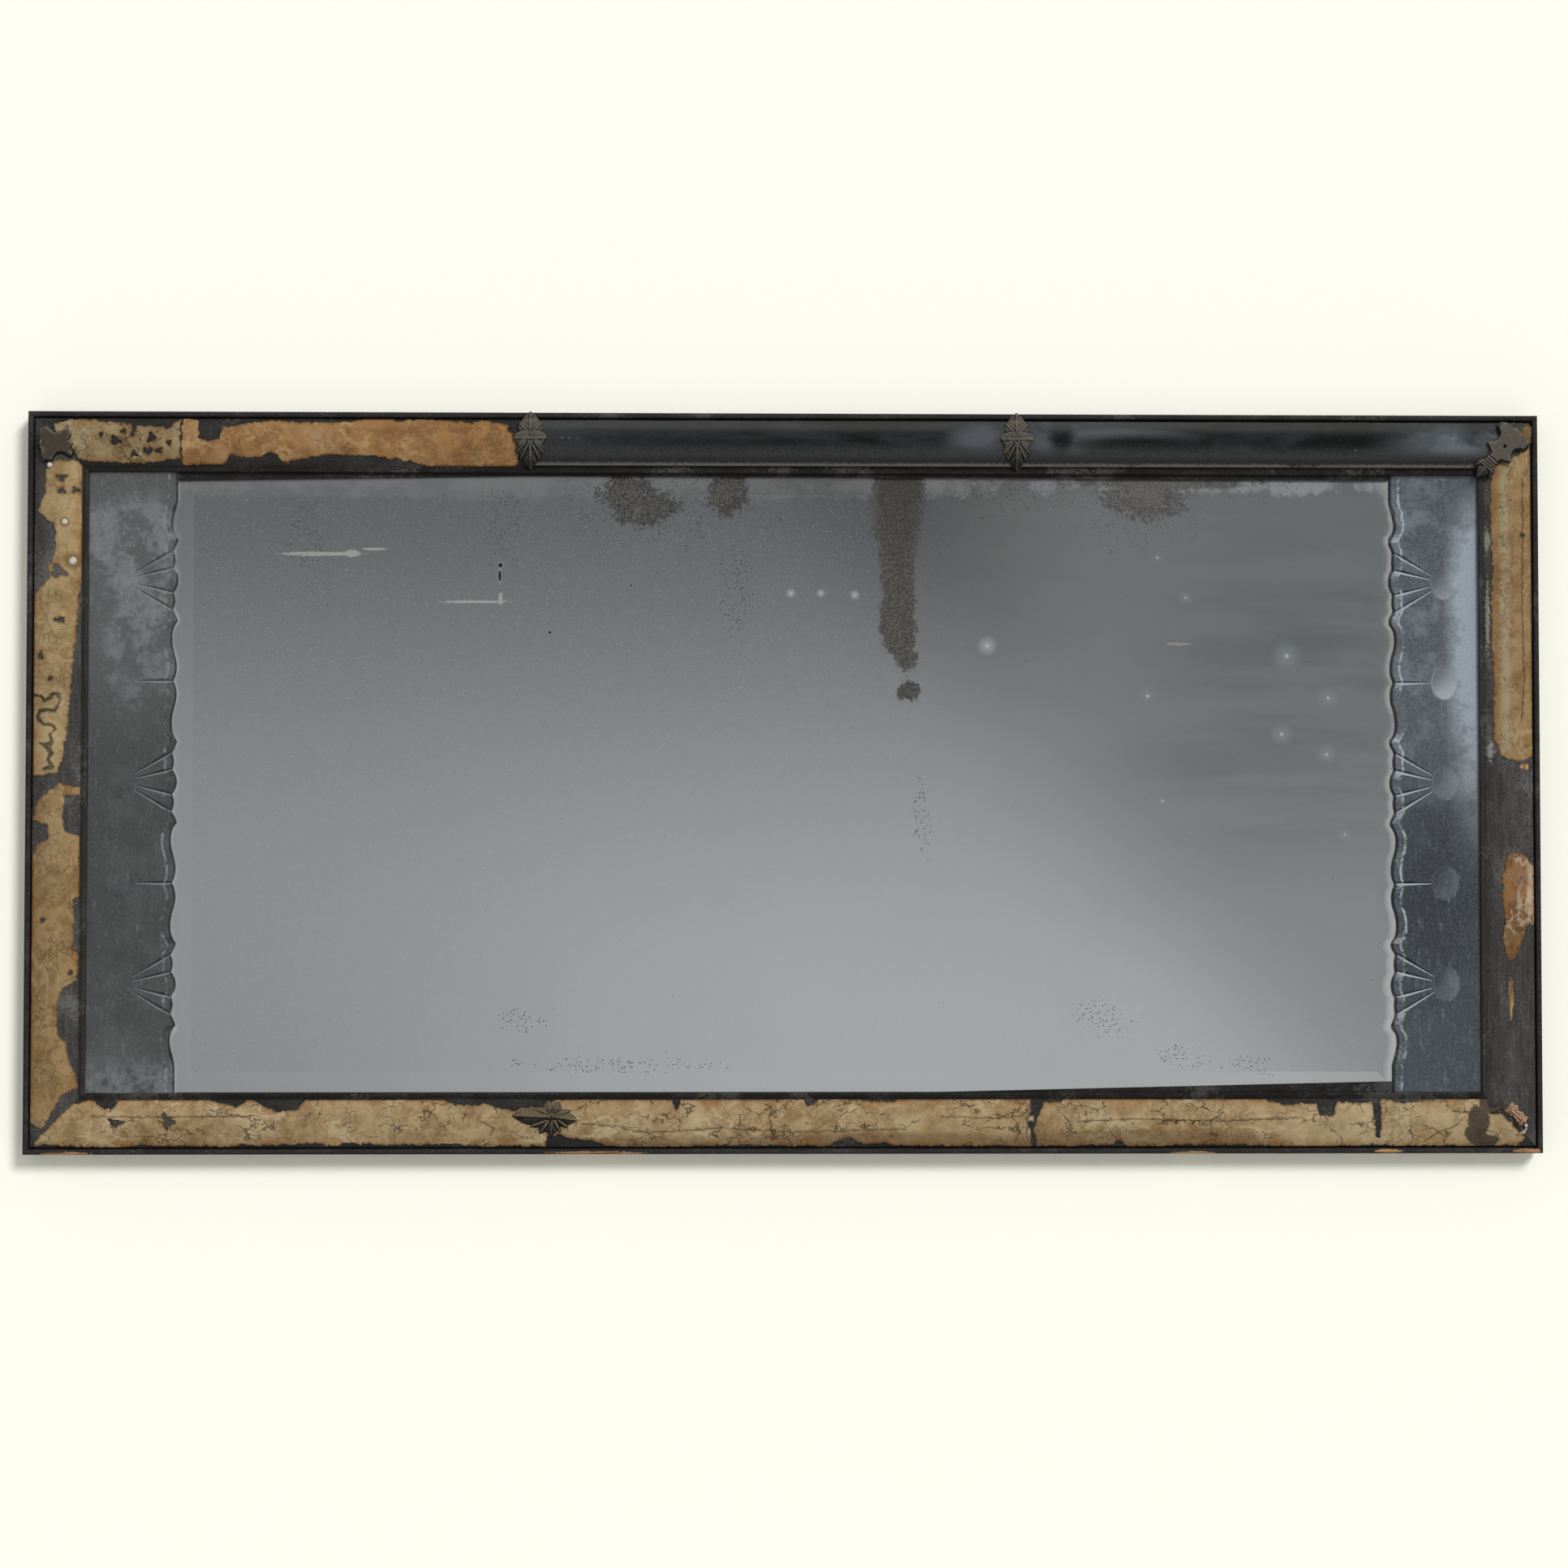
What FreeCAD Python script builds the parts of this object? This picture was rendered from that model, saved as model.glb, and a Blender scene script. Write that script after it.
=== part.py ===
import FreeCAD, Part
import math
import os

from FreeCAD import Matrix, Vector

# A wide wall mirror. A pegged softwood back frame carries mitred black mouldings: an outer bead, a
# convex cushion and a sight bead. Bent mirror strips once covered the whole cushion; two of them are
# left, and elsewhere the torn paper that they were bedded on shows. Carved leaves cover the joints of
# the strips. The large bevelled plate lies between two side plates with scalloped, fluted edges.
# X runs to the right, Y from the front to the wall and Z up. The wall is the plane Y = 0.

# Overall sizes, in millimetres
overall_width = 1864.0
overall_height = 912.0

# Moulding section: "in" is measured from the outer edge inwards, "out" from the wall to the front
moulding_width = 75.0
bead_width = 7.0
bead_wrap = 4.0
bead_back = 10.0
bead_front = 37.0
groove_width = 2.0
sight_bead_width = 8.0
sight_bead_rise = 7.0
sight_bead_nose = 2.5
cushion_edge = 4.0
cushion_crown = 9.0

# Back frame
frame_depth = 30.0
rebate_width = 25.0
tenon_stop = 10.0
tenon_shoulder = 8.0
tenon_thickness = 10.0
tenon_clearance = 0.2
peg_radius = 4.0
peg_spacing_share = 0.467
muntin_width = 60.0
muntin_lap_stop = 21.0

# Plates, slips and packing
plate_gap = 3.0
side_plate_thickness = 4.0
side_plate_show = 102.0
main_plate_thickness = 5.0
main_plate_overlap = 4.0
main_plate_tuck = 5.0
main_bevel_width = 30.0
main_bevel_depth = 0.8
slip_clearance = 1.0
top_slip_shows = (10.0, 3.0, 5.5)
top_slip_knee = 424.0
bottom_slip_shows = (-3.0, -1.0, 13.0)
bottom_slip_knee = 880.0

# Cut decoration on the side plates: the pitch of its motifs is a share of the height, and the places of
# the edge's turns are shares of the pitch from a motif's centre
motif_share = 0.136
scallop_depth = 7.0
fan_notch_inner_at_share = 0.121
fan_notch_outer_at_share = 0.29
fan_cusp_at_share = 0.403
hollow_offset_at_share = 0.145
lobe_offset_at_share = 0.145
end_lobe_at_share = 0.815
# Depth of the scalloped edge where it turns, as shares of the scallop depth
fan_notch_inner_share = 0.15
small_lobe_share = 0.45
fan_notch_outer_share = 0.05
fan_flank_share = 0.6
hollow_flank_share = 0.25
lobe_share = 0.85
lobe_fall = 0.6
lobe_fall_share = 0.65
single_notch_share = 0.2
end_rise_share = 0.4
end_lobe_share = 0.9
edge_bevel_width = 10.0
edge_bevel_depth = 1.5
focus_distance = 61.0
oval_half_width = 16.0
oval_half_height = 21.0
oval_depth = 0.9
oval_overrun = 3.6
flute_start = 19.0
flute_half_width = 3.6
flute_tip_half_width = 0.8
flute_depth = 2.6
flute_tip_depth = 0.5

# Backboards and what holds them
board_thickness = 8.0
board_clearance = 1.0
board_joint = 0.8
boards_per_side = 3
block_length = 60.0
block_size = 8.0
blocks_on_rail = 3
nail_radius = 1.3
nail_head_radius = 3.0
nail_head_height = 1.0
nail_bite = 5.0
nails_per_board = 2

# Bent mirror strips and paper on the cushion
strip_thickness = 3.0
strip_bed = 0.3
strip_margin = 3.0
strip_gap = 2.0
# Joints of the strips, as shares of the overall width from the middle
joint_left_share = 0.1668
joint_right_share = 0.154
paper_bed = 0.3
paper_thickness = 0.5
paper_margin = 1.0

# Carved ornaments
ornament_seat = 0.4
leaf_edge_height = 2.6
leaf_ridge_height = 5.5
leaf_root = 9.0
leaf_droop = 7.0
lower_joint_share = 0.1561
joint_leaf_rise = 2.0
# Each leaf of a joint ornament, from the ornament's middle: root along and across, tip along and
# across, width. A leaf that points sideways has a twin on the other side.
JOINT_LEAVES = (
    (-11.0, 0.0, -36.5, 0.0, 18.0),
    (-12.0, 1.0, -21.0, 13.5, 8.5),
    (2.0, 3.0, 15.5, 15.5, 8.0),
    (6.0, 2.0, 22.5, 12.5, 8.0),
    (8.0, 0.0, 35.0, 0.0, 11.0),
)
shield_top = -13.0
shield_crown = -11.0
shield_shoulder = -3.0
shield_half = 20.0
shield_waist = 5.0
shield_skirt = 14.0
shield_end = 14.0
shield_ridge = 4.5
# The star plate of a corner ornament: along the mitre from the outer corner, across it, and the share
# of its draft that leans along the mitre. Crown, horn, waist, point, notch and tail.
CORNER_PLATE = (
    (24.0, 0.0, -1.0),
    (31.0, 17.0, -0.4),
    (46.0, 10.5, 0.0),
    (58.0, 14.5, 0.6),
    (63.0, 5.5, 0.6),
    (71.0, 5.3, 1.0),
)
corner_plate_height = 6.0
corner_draft = 5.0
corner_pin_along = 55.0
corner_bud_length = 29.0
corner_bud_width = 18.0
collar_ribs = 3
collar_radius = 2.2
collar_pitch = 3.2
collar_width = 14.0
collar_step = 2.0
collar_drop = 0.6
bud_drop = 1.5
# The upper left corner ornament, broken: the break runs across it at distances from its tail
broken_in = 13.0
broken_down = 42.5
broken_plate_height = 5.0
BREAK_LINE = ((6.0, -20.0), (12.0, -9.0), (7.0, -3.0), (13.0, 2.0), (8.0, 8.0), (14.0, 20.0))
stub_start = 34.0
stub_length = 37.0
stub_width = 16.0
stub_height = 4.0
stub_offset = 8.0
stub_pin_along = 6.0
pin_radius = 1.2
pin_head_radius = 2.4
pin_head_height = 1.6
pin_bite = 13.0

# Dome-headed tacks in the left paper: distance down from the top edge, and distance in from the left
# edge as a share of the moulding's width
tack_drops = (67.0, 137.0, 183.0)
TACK_IN_SHARES = (0.36, 0.61333, 0.74667)
tack_radius = 3.2
tack_rise = 2.2
tack_shank_radius = 0.9
tack_length = 9.0

# Hinged hanging rings let into the back of the top rail
hanger_from_centre = 560.0
hanger_plate_width = 30.0
hanger_plate_margin = 10.0
hanger_plate_thickness = 2.5
hanger_web_inset = 0.3
hanger_axis_depth = 3.5
hanger_axis_drop = 4.0
knuckle_radius = 3.2
knuckle_length = 7.0
hinge_pin_radius = 1.5
hinge_clearance = 0.05
barrel_length = 12.0
barrel_side_gap = 0.4
ring_inner_radius = 10.0
ring_outer_radius = 15.0
ring_thickness = 3.0
ring_neck_width = 9.0
ring_drop = 19.0
# Screw places on a hanger's leaf, as shares of its width from the middle and of its height
SCREW_SHARES = ((-0.28, 0.3), (0.28, 0.3), (0.0, 0.75))
screw_radius = 1.8
screw_head_radius = 3.6
screw_length = 16.0
screw_head_height = 1.8

# Values that follow from the sizes above
half_width = overall_width / 2
half_height = overall_height / 2
frame_inner = moulding_width - rebate_width
rail_width = frame_inner - bead_wrap
tenon_length = rail_width - tenon_stop
tenon_width = rail_width - 2 * tenon_shoulder
peg_spacing = tenon_width * peg_spacing_share
muntin_lap = rail_width - muntin_lap_stop
hanger_plate_height = rail_width - hanger_plate_margin
cushion_start = bead_width + groove_width
cushion_end = moulding_width - sight_bead_width
cushion_middle = (cushion_start + cushion_end) / 2
cushion_half = (cushion_end - cushion_start) / 2
cushion_radius = (cushion_half**2 + cushion_crown**2) / (2 * cushion_crown)
cushion_top = frame_depth + cushion_edge + cushion_crown
cushion_axis = cushion_top - cushion_radius
plate_front = frame_depth
main_front = plate_front - side_plate_thickness
board_front = main_front - main_plate_thickness
board_back = board_front - board_thickness
plate_edge = frame_inner + plate_gap
joint_left_of_centre = overall_width * joint_left_share
joint_right_of_centre = overall_width * joint_right_share
lower_joint_left_of_centre = overall_width * lower_joint_share
motif_pitch = overall_height * motif_share
fan_notch_inner = motif_pitch * fan_notch_inner_at_share
fan_notch_outer = motif_pitch * fan_notch_outer_at_share
fan_cusp = motif_pitch * fan_cusp_at_share
hollow_offset = motif_pitch * hollow_offset_at_share
lobe_offset = motif_pitch * lobe_offset_at_share
end_lobe = motif_pitch * end_lobe_at_share
scallop_base = half_width - moulding_width - side_plate_show
main_half_width = scallop_base + main_plate_overlap
main_half_height = half_height - moulding_width + main_plate_tuck
strip_outer_radius = cushion_radius + strip_bed + strip_thickness
paper_outer_radius = cushion_radius + paper_bed + paper_thickness
mitre_reach = 2 * cushion_top
corner_top = cushion_axis + strip_outer_radius + ornament_seat + corner_plate_height
broken_top = cushion_axis + paper_outer_radius + ornament_seat + broken_plate_height
stub_top = cushion_axis + paper_outer_radius + ornament_seat + stub_height
opening_half_width = half_width - frame_inner
opening_half_height = half_height - frame_inner
hanger_axis_z = opening_half_height - hanger_axis_drop

SIDES = ("top", "bottom", "left", "right")
FRONT = Vector(0, -1, 0)


def place(side, along, inward, out):
    """A point on one side of the frame: along it, inwards from the outer edge and out from the wall."""
    if side == "top":
        return Vector(along, -out, half_height - inward)
    if side == "bottom":
        return Vector(along, -out, inward - half_height)
    if side == "left":
        return Vector(inward - half_width, -out, along)
    return Vector(half_width - inward, -out, along)


def along_axis(side):
    """The direction in which a side of the frame runs."""
    return Vector(1, 0, 0) if side in ("top", "bottom") else Vector(0, 0, 1)


def half_run(side):
    """Half the length of one side of the frame."""
    return half_width if side in ("top", "bottom") else half_height


def line(first, second):
    return Part.LineSegment(first, second).toShape()


def arc(first, middle, last):
    return Part.Arc(first, middle, last).toShape()


def box(low, high):
    """A box between two corners given as x, out from the wall and z."""
    size = [abs(high[i] - low[i]) for i in range(3)]
    corner = Vector(min(low[0], high[0]), -max(low[1], high[1]), min(low[2], high[2]))
    return Part.makeBox(size[0], size[1], size[2], corner)


def prism(points, low_out, high_out):
    """An outline of x and z points, filled between two distances from the wall."""
    corners = [Vector(x, -low_out, z) for x, z in points]
    face = Part.Face(Part.makePolygon(corners + corners[:1]))
    return face.extrude(FRONT * (high_out - low_out))


def peg(start, direction, radius, length):
    return Part.makeCylinder(radius, length, start, direction)


def mitre_mask(side, depth=moulding_width):
    """The piece of space in front of the wall that one side takes up between its two mitres."""
    run = half_run(side)
    corners = [(-run, 0.0), (run, 0.0), (run - depth, depth), (depth - run, depth)]
    points = [place(side, along, inward, 0.0) for along, inward in corners]
    face = Part.Face(Part.makePolygon(points + points[:1]))
    return face.extrude(FRONT * mitre_reach)


def section_run(side, section):
    """A moulding: a section of lines and arcs, run along one side and mitred at both ends.

    Each item of the section is a point (in, out), or two of them for an arc through the first.
    """
    start = -half_run(side)
    last = place(side, start, *section[-1][-1])
    edges = []
    for item in section:
        points = [place(side, start, *point) for point in item]
        if len(points) == 2:
            edges.append(arc(last, points[0], points[1]))
        else:
            edges.append(line(last, points[0]))
        last = points[-1]
    face = Part.Face(Part.Wire(edges))
    solid = face.extrude(along_axis(side) * (2 * half_run(side)))
    return solid.common(mitre_mask(side))


def cushion_point(angle, radius):
    """The (in, out) point of the cushion's circle at an angle from its crown, positive inwards."""
    return (
        cushion_middle + radius * math.sin(angle),
        cushion_axis + radius * math.cos(angle),
    )


def cushion_band(side, inner_radius, outer_radius, margin, low, high):
    """A bent sheet that lies on the cushion from low to high along one side."""
    half_angle = math.asin((cushion_half - margin) / cushion_radius)

    def at(angle, radius):
        return place(side, low, *cushion_point(angle, radius))

    edges = [
        arc(at(-half_angle, inner_radius), at(0.0, inner_radius), at(half_angle, inner_radius)),
        line(at(half_angle, inner_radius), at(half_angle, outer_radius)),
        arc(at(half_angle, outer_radius), at(0.0, outer_radius), at(-half_angle, outer_radius)),
        line(at(-half_angle, outer_radius), at(-half_angle, inner_radius)),
    ]
    return Part.Face(Part.Wire(edges)).extrude(along_axis(side) * (high - low))


# Back frame: stiles run through, rails are tenoned and pegged into them, a muntin is lapped between
def stile(side):
    sign = -1 if side == "left" else 1
    solid = box(
        (sign * (half_width - bead_wrap), 0, bead_wrap - half_height),
        (sign * opening_half_width, frame_depth, half_height - bead_wrap),
    )
    for end in (-1, 1):
        solid = solid.cut(tenon(sign, end, tenon_clearance))
        for hole in joint_pegs(sign, end):
            solid = solid.cut(hole)
    return solid


def tenon(sign, end, grow=0.0):
    """The tenon at one end of a rail, or its mortise when grown by the clearance."""
    middle = end * (half_height - (bead_wrap + frame_inner) / 2)
    reach = tenon_width / 2 + grow
    thick = tenon_thickness / 2 + grow
    return box(
        (sign * opening_half_width, frame_depth / 2 - thick, middle - reach),
        (sign * (opening_half_width + tenon_length + grow), frame_depth / 2 + thick, middle + reach),
    )


def joint_pegs(sign, end):
    """The two pegs that draw one corner joint tight, through the whole depth of the frame."""
    middle = end * (half_height - (bead_wrap + frame_inner) / 2)
    x = sign * (opening_half_width + tenon_length / 2)
    return [
        peg(Vector(x + offset, 0, middle + offset), FRONT, peg_radius, frame_depth)
        for offset in (-peg_spacing / 2, peg_spacing / 2)
    ]


def rail(end):
    low = end * opening_half_height
    high = end * (half_height - bead_wrap)
    solid = box((-opening_half_width, 0, low), (opening_half_width, frame_depth, high))
    for sign in (-1, 1):
        solid = solid.fuse(tenon(sign, end))
        for hole in joint_pegs(sign, end):
            solid = solid.cut(hole)
    solid = solid.removeSplitter()
    lap = end * (opening_half_height + muntin_lap)
    solid = solid.cut(box((-muntin_width / 2, 0, low), (muntin_width / 2, board_back, lap)))
    for nail in muntin_nails():
        solid = solid.cut(nail)
    if end > 0:
        for sign in (-1, 1):
            solid = solid.cut(hanger_leaf(sign))
            for screw in hanger_screws(sign):
                solid = solid.cut(screw)
    return solid


def muntin():
    reach = opening_half_height + muntin_lap
    solid = box((-muntin_width / 2, 0, -reach), (muntin_width / 2, board_back, reach))
    for nail in muntin_nails():
        solid = solid.cut(nail)
    return solid


# Mouldings
def outer_bead(side):
    shoulder = bead_front - bead_width / 2
    section = [
        [(0.0, bead_back)],
        [(bead_wrap, bead_back)],
        [(bead_wrap, frame_depth)],
        [(bead_width, frame_depth)],
        [(bead_width, shoulder)],
        [(bead_width / 2, bead_front), (0.0, shoulder)],
    ]
    return section_run(side, section)


def cushion(side):
    edge = frame_depth + cushion_edge
    section = [
        [(cushion_start, frame_depth)],
        [(cushion_end, frame_depth)],
        [(cushion_end, edge)],
        [(cushion_middle, cushion_top), (cushion_start, edge)],
    ]
    solid = section_run(side, section)
    for hole in pins_near(side) + (tacks() if side == "left" else []):
        solid = solid.cut(hole)
    return solid


def sight_bead(side):
    front = frame_depth + sight_bead_rise
    turn = sight_bead_nose * (1 - math.sqrt(0.5))
    section = [
        [(cushion_end, frame_depth)],
        [(moulding_width, frame_depth)],
        [(moulding_width, front - sight_bead_nose)],
        [(moulding_width - turn, front - turn), (moulding_width - sight_bead_nose, front)],
        [(cushion_end, frame_depth + cushion_edge)],
    ]
    return section_run(side, section)


# Looking-glass plates
def main_plate():
    levels = ((board_front, 0.0), (main_front - main_bevel_depth, 0.0), (main_front, main_bevel_width))
    wires = []
    for out, inset in levels:
        x = main_half_width - inset
        z = main_half_height - inset
        corners = [Vector(a * x, -out, b * z) for a, b in ((-1, -1), (1, -1), (1, 1), (-1, 1))]
        wires.append(Part.makePolygon(corners + corners[:1]))
    return Part.makeLoft(wires, True, True)


def scallop_edges(inset, out, sign):
    """The scalloped edge of a side plate from its lower end to its upper end, as a list of edges."""
    plate_end = half_height - plate_edge

    def at(z, depth):
        return Vector(sign * (scallop_base - depth + inset), -out, z)

    def sweep(points):
        curve = Part.BSplineCurve()
        curve.interpolate([at(z, depth * scallop_depth) for z, depth in points])
        return curve.toShape()

    def mirrored(points, centre, up):
        return [(centre + up * z, depth) for z, depth in points][::up]

    lobe = motif_pitch - lobe_offset
    hollow = fan_cusp + hollow_offset
    flank = (fan_notch_outer + fan_cusp) / 2
    small_lobe = (fan_notch_inner + fan_notch_outer) / 2
    ogee = [
        (fan_cusp, 1.0),
        (fan_cusp + hollow_offset / 2, hollow_flank_share),
        (hollow, 0.0),
        (hollow + hollow_offset, hollow_flank_share),
        (lobe, lobe_share),
        (lobe + lobe_offset * lobe_fall, lobe_fall_share),
        (motif_pitch, single_notch_share),
    ]
    run_out = [
        (fan_cusp, 1.0),
        (fan_cusp + hollow_offset / 2, hollow_flank_share),
        (hollow, 0.0),
        ((hollow + end_lobe) / 2, end_rise_share),
        (end_lobe, end_lobe_share),
    ]
    half_fan = [
        [
            (fan_notch_inner, fan_notch_inner_share),
            (small_lobe, small_lobe_share),
            (fan_notch_outer, fan_notch_outer_share),
        ],
        [(fan_notch_outer, fan_notch_outer_share), (flank, fan_flank_share), (fan_cusp, 1.0)],
    ]
    middle_lobe = [
        (-fan_notch_inner, fan_notch_inner_share),
        (0.0, 1.0),
        (fan_notch_inner, fan_notch_inner_share),
    ]
    fan_centres = (-2 * motif_pitch, 0.0, 2 * motif_pitch)
    end_depth = end_lobe_share * scallop_depth
    edges = [line(at(-plate_end, end_depth), at(fan_centres[0] - end_lobe, end_depth))]
    for centre in fan_centres:
        below = run_out if centre == fan_centres[0] else ogee
        above = run_out if centre == fan_centres[-1] else ogee
        edges.append(sweep(mirrored(below, centre, -1)))
        for curve in half_fan[::-1]:
            edges.append(sweep(mirrored(curve, centre, -1)))
        edges.append(sweep(mirrored(middle_lobe, centre, 1)))
        for curve in half_fan:
            edges.append(sweep(mirrored(curve, centre, 1)))
        edges.append(sweep(mirrored(above, centre, 1)))
    edges.append(line(at(fan_centres[-1] + end_lobe, end_depth), at(plate_end, end_depth)))
    return edges


def side_plate_wire(inset, out, sign):
    plate_end = half_height - plate_edge
    outer = sign * (half_width - plate_edge)
    edges = scallop_edges(inset, out, sign)
    low = edges[0].valueAt(edges[0].FirstParameter)
    high = edges[-1].valueAt(edges[-1].LastParameter)
    corner_low = Vector(outer, -out, -plate_end)
    corner_high = Vector(outer, -out, plate_end)
    return Part.Wire(edges + [line(high, corner_high), line(corner_high, corner_low), line(corner_low, low)])


def flute(sign, centre, notch):
    """A tapered V cut that runs from a notch of the scalloped edge towards a motif's oval."""
    reach = math.hypot(focus_distance, notch)
    toward = Vector(-sign * focus_distance / reach, 0, notch / reach)
    across = Vector(toward.z, 0, -toward.x)
    focus = Vector(sign * (scallop_base + focus_distance), -plate_front, centre)
    stations = (
        (flute_start, flute_tip_half_width, flute_tip_depth),
        (reach + scallop_depth, flute_half_width, flute_depth),
    )
    wires = []
    for distance, half, depth in stations:
        middle = focus + toward * distance
        corners = [
            middle - FRONT * depth,
            middle + across * half * 2 + FRONT * depth,
            middle - across * half * 2 + FRONT * depth,
        ]
        wires.append(Part.makePolygon(corners + corners[:1]))
    return Part.makeLoft(wires, True, True)


def oval_cutter(sign, centre):
    """A barrel whose two curvatures cut a shallow oval hollow into the front of a side plate."""
    upright = (oval_half_height**2 + oval_depth**2) / (2 * oval_depth)
    level = (oval_half_width**2 + oval_depth**2) / (2 * oval_depth)
    x = sign * (scallop_base + focus_distance)
    floor = -plate_front + oval_depth
    reach = oval_half_height + oval_overrun
    sag = upright - math.sqrt(upright**2 - reach**2)
    axis = floor - level
    edges = [
        arc(
            Vector(x, floor - sag, centre - reach),
            Vector(x, floor, centre),
            Vector(x, floor - sag, centre + reach),
        ),
        line(Vector(x, floor - sag, centre + reach), Vector(x, axis, centre + reach)),
        line(Vector(x, axis, centre + reach), Vector(x, axis, centre - reach)),
        line(Vector(x, axis, centre - reach), Vector(x, floor - sag, centre - reach)),
    ]
    return Part.Face(Part.Wire(edges)).revolve(Vector(x, axis, centre), Vector(0, 0, 1), 360)


def side_plate(side):
    sign = -1 if side == "left" else 1
    levels = (
        (main_front, 0.0),
        (plate_front - edge_bevel_depth, 0.0),
        (plate_front, edge_bevel_width),
    )
    solid = Part.makeLoft([side_plate_wire(inset, out, sign) for out, inset in levels], True, True)
    for motif in range(-2, 3):
        centre = motif * motif_pitch
        is_fan = motif % 2 == 0
        notches = (-fan_notch_outer, -fan_notch_inner, fan_notch_inner, fan_notch_outer) if is_fan else (0.0,)
        for notch in notches:
            solid = solid.cut(flute(sign, centre, notch))
        solid = solid.cut(oval_cutter(sign, centre))
    return solid


# Slips and packing that fill the rebate round the main plate
def slip(end):
    """A rebated slip above or below the main plate; its lip shows unevenly past the sight edge."""
    sight = half_height - moulding_width
    shows, knee = (top_slip_shows, top_slip_knee) if end > 0 else (bottom_slip_shows, bottom_slip_knee)
    reach = scallop_base - scallop_depth - slip_clearance
    body_low = end * (main_half_height + slip_clearance)
    body_high = end * (half_height - plate_edge)
    lip = [
        (-reach, end * (sight - shows[0])),
        (knee - reach, end * (sight - shows[1])),
        (reach, end * (sight - shows[2])),
        (reach, body_high),
        (-reach, body_high),
    ]
    body = box((-reach, board_front, body_low), (reach, main_front, body_high))
    return body.fuse(prism(lip, main_front, plate_front)).removeSplitter()


def packing(side):
    sign = -1 if side == "left" else 1
    inner = main_half_width + slip_clearance
    reach = half_height - plate_edge
    return box((sign * inner, board_front, -reach), (sign * (half_width - plate_edge), main_front, reach))


# Backboards, their nails and the glued blocks that keep them in the rebate
def board_bounds(row):
    pitch = (2 * (opening_half_height - board_clearance) + board_joint) / boards_per_side
    low = board_clearance - opening_half_height + row * pitch
    return low, low + pitch - board_joint


def backboard(sign, row):
    low, high = board_bounds(row)
    solid = box(
        (sign * board_joint / 2, board_back, low),
        (sign * (opening_half_width - board_clearance), board_front, high),
    )
    for nail in muntin_nails():
        solid = solid.cut(nail)
    return solid


def muntin_nails():
    """Cut nails through the muntin into each board, and through its lapped ends into the rails."""
    places = []
    for sign in (-1, 1):
        for row in range(boards_per_side):
            low, high = board_bounds(row)
            for step in range(1, nails_per_board + 1):
                places.append((sign * muntin_width / 4, low + (high - low) * step / (nails_per_board + 1)))
        for end in (-1, 1):
            places.append((sign * muntin_width / 4, end * (opening_half_height + muntin_lap / 2)))
    nails = []
    for x, z in places:
        start = Vector(x, 0, z)
        head = peg(start, FRONT, nail_head_radius, nail_head_height)
        nails.append(head.fuse(peg(start, FRONT, nail_radius, board_back + nail_bite)))
    return nails


def retaining_blocks():
    """Triangular blocks in the angle between the back frame and the boards."""
    blocks = []
    for end in (-1, 1):
        wall = end * opening_half_height
        spread = opening_half_width - 2 * block_length
        for step in range(-blocks_on_rail, blocks_on_rail + 1):
            middle = step * spread / blocks_on_rail
            clear_of_muntin = abs(middle) > muntin_width / 2 + block_length
            clear_of_hanger = abs(abs(middle) - hanger_from_centre) > block_length
            if not clear_of_muntin or not clear_of_hanger:
                continue
            corners = [
                Vector(middle - block_length / 2, -board_back, wall),
                Vector(middle - block_length / 2, -board_back, wall - end * block_size),
                Vector(middle - block_length / 2, -board_back + block_size, wall),
            ]
            face = Part.Face(Part.makePolygon(corners + corners[:1]))
            blocks.append(face.extrude(Vector(block_length, 0, 0)))
    for sign in (-1, 1):
        wall = sign * opening_half_width
        for end in (-1, 1):
            middle = end * opening_half_height / 2
            corners = [
                Vector(wall, -board_back, middle - block_length / 2),
                Vector(wall - sign * block_size, -board_back, middle - block_length / 2),
                Vector(wall, -board_back + block_size, middle - block_length / 2),
            ]
            face = Part.Face(Part.makePolygon(corners + corners[:1]))
            blocks.append(face.extrude(Vector(0, 0, block_length)))
    return blocks


# Bent mirror strips that are left on the top cushion
def cushion_strip(name):
    if name == "centre":
        low = -joint_left_of_centre + strip_gap / 2
        high = joint_right_of_centre - strip_gap / 2
    else:
        low = joint_right_of_centre + strip_gap / 2
        high = half_width
    solid = cushion_band("top", cushion_radius + strip_bed, strip_outer_radius, strip_margin, low, high)
    solid = solid.common(mitre_mask("top").translated(Vector(-strip_gap, 0, 0)))
    for hole in pins_near("top"):
        solid = solid.cut(hole)
    return solid


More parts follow.
